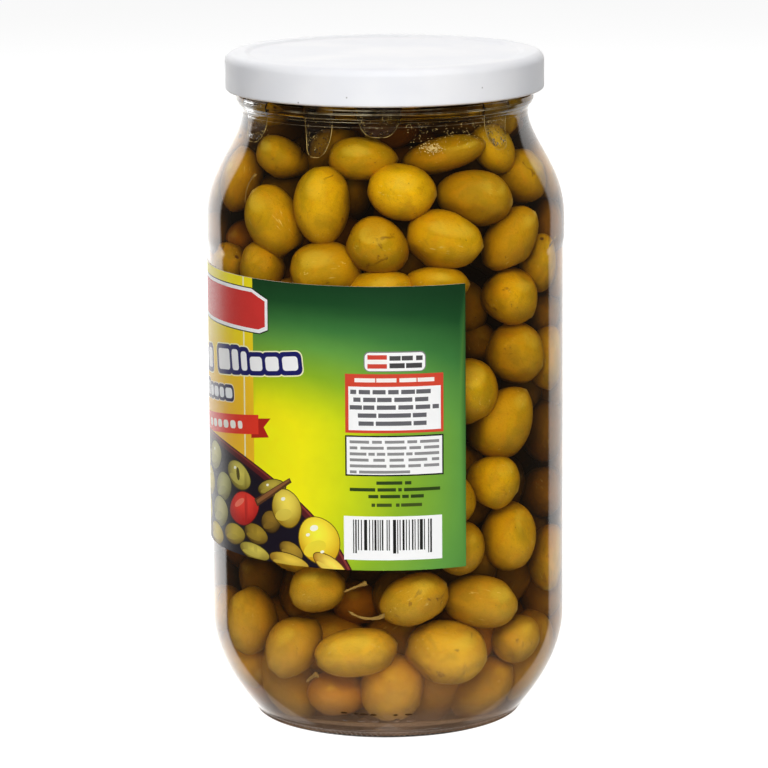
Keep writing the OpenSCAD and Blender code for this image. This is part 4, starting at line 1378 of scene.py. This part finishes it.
# painted glints along the neck seams
m, g = material("painted_seam_glint")
tc = g.new("ShaderNodeTexCoord")
p = principled(g, **{"Base Color": g.mix(g.ramp(g.noise(tc.outputs["Object"], 90, 3), 0.35, 0.65), srgb(96, 76, 40), srgb(240, 224, 186)), "Roughness": 0.25, "IOR": 1.5})
finish_surface(m, g, p.outputs[0])
paint(seam_glints, m)
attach(seam_glints, "root")

# the cloudy settled brine low in the jar, as a veil that thins out upwards
fz = np.concatenate([np.linspace(1.4, 20, 24), np.linspace(22, 44, 10)])
fp = [(float(outer_r(z)) - 1.0, z) for z in fz] + [(float(outer_r(z)) - 1.1, z) for z in fz[::-1]]
film = revolve("cloudy_film", fp + fp[:1], 120)
m, g = material("cloudy_brine")
tc = g.new("ShaderNodeTexCoord")
sep = g.new("ShaderNodeSeparateXYZ")
g.put(sep.inputs[0], tc.outputs["Object"])
cloud = g.noise(tc.outputs["Object"], 45, 4, 0.55, 0.4)
veil = g.math("ADD", g.ramp(sep.outputs["Z"], 0.044, 0.014, 0.0, 0.14), g.ramp(sep.outputs["Z"], 0.015, 0.005, 0.0, 0.2))
veil = g.math("MULTIPLY", veil, g.ramp(cloud, 0.3, 0.7, 0.75, 1.15))
p = principled(g, **{"Base Color": g.mix(cloud, srgb(148, 114, 90), srgb(182, 146, 118)), "Roughness": 0.9, "Specular IOR Level": 0.0})
tr = g.new("ShaderNodeBsdfTransparent")
mx = g.new("ShaderNodeMixShader")
g.put(mx.inputs[0], veil)
g.t.links.new(tr.outputs[0], mx.inputs[1])
g.t.links.new(p.outputs[0], mx.inputs[2])
finish_surface(m, g, mx.outputs[0])
paint(film, m)
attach(film, "root")

# fine olive dust settled on the floor of the glass
sp = [(0, float(floor_z(0)) + 0.1)] + [(r, float(floor_z(r)) + 0.1) for r in (8, 16, 24, 30, 34, 35.8)] + [(37.6, IN_FLOOR + 0.5), (38.6, IN_FLOOR + 1.3), (37.2, IN_FLOOR + 1.7), (34.5, IN_FLOOR + 1.5)] + [(r, float(floor_z(r)) + 1.1) for r in (30, 24, 16, 8)] + [(0, float(floor_z(0)) + 1.2)]
dust = revolve("olive_dust", sp[::-1], 96, warp=lambda r, z, a: r + 0.3 * np.sin(9 * a + z) + 0.2 * np.sin(23 * a))
m, g = material("settled_dust")
tc = g.new("ShaderNodeTexCoord")
grit = g.noise(tc.outputs["Object"], 600, 4, 0.7)
p = principled(g, **{"Base Color": g.mix(g.ramp(grit, 0.35, 0.7), srgb(120, 92, 66), srgb(160, 130, 98)), "Roughness": 0.8})
g.put(p.inputs["Normal"], g.bump(grit, 0.5, 0.0006))
finish_surface(m, g, p.outputs[0])
paint(dust, m)
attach(dust, "root")


# marks moulded in the heel of the glass, coloured dark brown
marks_v, marks_f = [], []
BALL_V, BALL_F = BALLS[(14, 10)]
for deg, z, w, h in ((-16.6, 10.5, 1.2, 0.42), (-12.0, 10.3, 0.7, 0.4), (-9.2, 10.2, 1.5, 0.46), (-5.6, 10.1, 1.1, 0.42), (2.6, 10.0, 0.8, 0.42), (7.4, 10.1, 1.2, 0.44), (150.0, 10, 1.2, 0.4), (157.0, 10, 0.8, 0.4), (168.0, 10, 1.2, 0.4)):
    q = math.radians(deg)
    out_d, side = np.array([math.sin(q), -math.cos(q), 0.0]), np.array([math.cos(q), math.sin(q), 0.0])
    slope = float(outer_r(z + 0.5) - outer_r(z - 0.5))
    up = np.array([0, 0, 1.0]) + out_d * slope
    up /= np.linalg.norm(up)
    nrm = np.cross(side, up)
    nrm *= np.sign(nrm @ out_d)
    c = out_d * (float(outer_r(z)) + 0.0) + np.array([0, 0, z])
    n0 = len(marks_v)
    marks_v += [c + side * v[0] * w + up * v[1] * h * (1 + 0.2 * math.sin(9 * v[0])) + nrm * v[2] * 0.12 for v in BALL_V]
    marks_f += [tuple(a_ + n0 for a_ in f) for f in BALL_F]
marks = make_mesh("mould_marks", np.array(marks_v) * MM, marks_f)
m, g = material("dark_mark")
tc = g.new("ShaderNodeTexCoord")
p = principled(g, **{"Base Color": g.mix(g.noise(tc.outputs["Object"], 2000, 2), srgb(40, 26, 14), srgb(66, 46, 26)), "Roughness": 0.9, "Specular IOR Level": 0.0})
finish_surface(m, g, p.outputs[0])
paint(marks, m)
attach(marks, "root")


# broken stalks caught between the olives
def build_stalks(rows, rng):
    verts, faces = [], []
    for deg, z, lean, length, thick, depth in rows:
        q = math.radians(deg)
        out = np.array([math.sin(q), -math.cos(q), 0.0])
        side = np.array([math.cos(q), math.sin(q), 0.0])
        c = out * (float(inner_r(z)) - depth) + np.array([0, 0, z])
        t = math.radians(lean)
        along = side * math.cos(t) + np.array([0, 0, 1.0]) * math.sin(t)
        across = -side * math.sin(t) + np.array([0, 0, 1.0]) * math.cos(t)
        n0, nu, nk = len(verts), 8, 9
        bend = rng.uniform(-0.16, 0.16)
        for k in range(nk):
            u = k / (nk - 1)
            x = (u - 0.5) * length
            rad = thick * (0.55 + 0.75 * u**4 + 0.12 * math.sin(u * 17)) * (0.35 if k in (0,) else 1)
            for i in range(nu):
                f = 2 * math.pi * i / nu
                verts.append(c + along * x + across * (rad * math.cos(f) + bend * length * (u - 0.5) ** 2 * 4) + out * rad * 0.8 * math.sin(f))
        verts.append(np.mean(verts[n0:n0 + nu], 0)); verts.append(np.mean(verts[n0 + (nk - 1) * nu:n0 + nk * nu], 0))
        for k in range(nk - 1):
            a_, b_ = n0 + k * nu, n0 + (k + 1) * nu
            faces += [(a_ + i, a_ + (i + 1) % nu, b_ + (i + 1) % nu, b_ + i) for i in range(nu)]
        s_, e_ = len(verts) - 2, len(verts) - 1
        a_ = n0 + (nk - 1) * nu
        faces += [(n0 + (i + 1) % nu, n0 + i, s_) for i in range(nu)] + [(a_ + i, a_ + (i + 1) % nu, e_) for i in range(nu)]
    return make_mesh("olive_stalks", np.array(verts) * MM, faces)


stalk_rng = np.random.default_rng(5)
STALKS = [(-11.0, 53.5, 24, 8.0, 0.7, 2.2), (-7.4, 43.4, -6, 11.5, 0.75, 1.8), (-28.5, 22.5, 35, 5.0, 0.9, 2.0), (72.0, 160.0, 18, 7.0, 0.55, 2.2), (-58.0, 178.5, 70, 11.0, 0.5, 3.2)]
for _ in range(14):
    STALKS.append((stalk_rng.uniform(85, 330), stalk_rng.uniform(16, 186), stalk_rng.uniform(-90, 90), stalk_rng.uniform(4, 10), stalk_rng.uniform(0.5, 0.8), stalk_rng.uniform(1.8, 3.2)))
stalks = build_stalks(STALKS, stalk_rng)
m, g = material("stalk")
tc = g.new("ShaderNodeTexCoord")
p = principled(g, **{"Base Color": g.mix(g.noise(tc.outputs["Object"], 500, 3), srgb(130, 94, 36), srgb(186, 150, 80)), "Roughness": 0.6})
g.put(p.inputs["Normal"], g.bump(g.noise(tc.outputs["Object"], 1500, 2), 0.3, 0.0002))
finish_surface(m, g, p.outputs[0])
paint(stalks, m)
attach(stalks, "root")

# ---------------------------------------------------------------- floor, light and camera
bpy.ops.mesh.primitive_plane_add(size=14, location=(0, 0, 0))
ground = bpy.context.object
ground.name = "studio_floor"
m, g = material("studio_white")
lp = g.new("ShaderNodeLightPath")
# painted shade: seen through the glass the floor is darker and warmer
p = principled(g, **{"Base Color": g.mix(lp.outputs["Is Transmission Ray"], (0.42, 0.42, 0.42), (0.25, 0.18, 0.14)), "Roughness": 0.9, "Specular IOR Level": 0.0, "Emission Color": (1.0, 1.0, 1.0, 1.0)})
tc = g.new("ShaderNodeTexCoord")
far = g.new("ShaderNodeVectorMath", _operation="LENGTH")
g.put(far.inputs[0], tc.outputs["Object"])
# painted glow: near the jar the floor gives off light to diffuse rays, as bounced light
glow_near_jar = g.math("MULTIPLY", g.ramp(far.outputs["Value"], 0.06, 0.2, 0.7, 0.0), lp.outputs["Is Diffuse Ray"])
g.put(p.inputs["Emission Strength"], g.math("ADD", g.math("MULTIPLY", lp.outputs["Is Camera Ray"], 0.9), glow_near_jar))
finish_surface(m, g, p.outputs[0])
paint(ground, m)
ground.visible_glossy = False

world = bpy.data.worlds.new("studio")
bpy.context.scene.world = world
world.use_nodes = True
g = Nodes(world.node_tree)
tc = g.new("ShaderNodeTexCoord")
sep = g.new("ShaderNodeSeparateXYZ")
g.put(sep.inputs[0], tc.outputs["Generated"])
flat_len = g.math("SQRT", g.math("ADD", g.math("MULTIPLY", sep.outputs["X"], sep.outputs["X"]), g.math("ADD", g.math("MULTIPLY", sep.outputs["Y"], sep.outputs["Y"]), 1e-5)))
ahead = g.math("DIVIDE", sep.outputs["Y"], flat_len)
back = g.ramp(ahead, 0.64, 0.70, 0.0, 1.0)
side = g.ramp(sep.outputs["X"], -0.3, 0.3, 1.9, 1.05)
side = g.math("MULTIPLY", side, g.ramp(sep.outputs["Z"], -0.7, -0.3, 0.3, 1.0))  # dimmer low down, under the jar's heel
above = g.ramp(sep.outputs["Z"], 0.90, 0.95, 0.0, 1.6)
wall = g.mix(g.math("ADD", g.math("MULTIPLY", back, side), above), (0.1, 0.078, 0.056), (1.1, 1.08, 1.056))
wall = g.t.nodes[-1]
wall.clamp_factor = False
lp = g.new("ShaderNodeLightPath")
sharp = g.math("MAXIMUM", lp.outputs["Is Glossy Ray"], lp.outputs["Is Transmission Ray"])
strength = g.mix(lp.outputs["Is Camera Ray"], g.mix(sharp, (0.06, 0.06, 0.06), wall.outputs[2]), (1.0, 1.0, 1.0))
bg = g.new("ShaderNodeBackground")
g.put(bg.inputs["Color"], strength)
bg.inputs["Strength"].default_value = 1.0
out = g.new("ShaderNodeOutputWorld")
g.t.links.new(bg.outputs[0], out.inputs[0])


def lamp(name, place, target, size, watts, colour=(1, 1, 1)):
    d = bpy.data.lights.new(name, "AREA")
    d.shape = "RECTANGLE"
    d.size, d.size_y = size
    d.energy = watts
    d.color = colour
    o = bpy.data.objects.new(name, d)
    bpy.context.scene.collection.objects.link(o)
    o.location = place
    o.rotation_euler = (Vector(target) - Vector(place)).to_track_quat("-Z", "Y").to_euler()
    o.visible_glossy = False
    o.visible_transmission = False
    o.visible_camera = False
    return o


lamp("left_softbox", (-0.3, -1.32, 1.0), (0, 0, 0.11), (0.5, 0.7), 9.2)
lamp("right_softbox", (0.36, -1.3, 0.92), (0, 0, 0.11), (0.5, 0.7), 8.0)
lamp("low_softbox", (0.0, -1.5, 0.26), (0, 0, 0.11), (0.7, 0.3), 3.8)
lamp("back_left_softbox", (-0.75, 1.25, 0.95), (0, 0, 0.11), (0.7, 0.7), 7.5)
lamp("back_right_softbox", (0.75, 1.25, 0.95), (0, 0, 0.11), (0.7, 0.7), 6.5)
lamp("top_softbox", (0.0, -0.25, 1.25), (0, 0, 0.1), (0.8, 0.8), 2.7)

CAM_D, CAM_H, PITCH, ROLL, FOCAL = 1.4663, 0.38854, 0.188, 0.0061, 4516.8
cu, cv = 384.0 - 386.43, 384.0 - 384.1
cr, sr = math.cos(ROLL), math.sin(ROLL)
right, up, fwd = Vector((1, 0, 0)), Vector((0, math.sin(PITCH), math.cos(PITCH))), Vector((0, math.cos(PITCH), -math.sin(PITCH)))
aim = (fwd * FOCAL + right * (cr * cu - sr * cv) - up * (sr * cu + cr * cv)).normalized()
x_axis = (right * cr - up * sr)
x_axis = (x_axis - aim * x_axis.dot(aim)).normalized()
y_axis = x_axis.cross(aim).normalized() * -1
if y_axis.z < 0:
    y_axis = -y_axis
cam_data = bpy.data.cameras.new("camera")
cam = bpy.data.objects.new("camera", cam_data)
bpy.context.scene.collection.objects.link(cam)
z_axis = -aim
cam.matrix_world = Matrix(((x_axis.x, y_axis.x, z_axis.x, 0), (x_axis.y, y_axis.y, z_axis.y, -CAM_D), (x_axis.z, y_axis.z, z_axis.z, CAM_H), (0, 0, 0, 1)))
cam_data.sensor_width = 36.0
cam_data.lens = FOCAL / 768 * 36.0
cam_data.clip_start, cam_data.clip_end = 0.01, 50
bpy.context.scene.camera = cam

sc = bpy.context.scene
sc.view_settings.view_transform = "Standard"
sc.view_settings.look = "None"
sc.render.film_transparent = False
sc.cycles.use_denoising = True
sc.cycles.max_bounces = 16
sc.cycles.diffuse_bounces = 3
sc.cycles.glossy_bounces = 5
sc.cycles.transmission_bounces = 12
sc.cycles.transparent_max_bounces = 24
sc.cycles.caustics_reflective = False
sc.cycles.caustics_refractive = False
sc.cycles.sample_clamp_indirect = 8.0

bpy.context.view_layer.update()
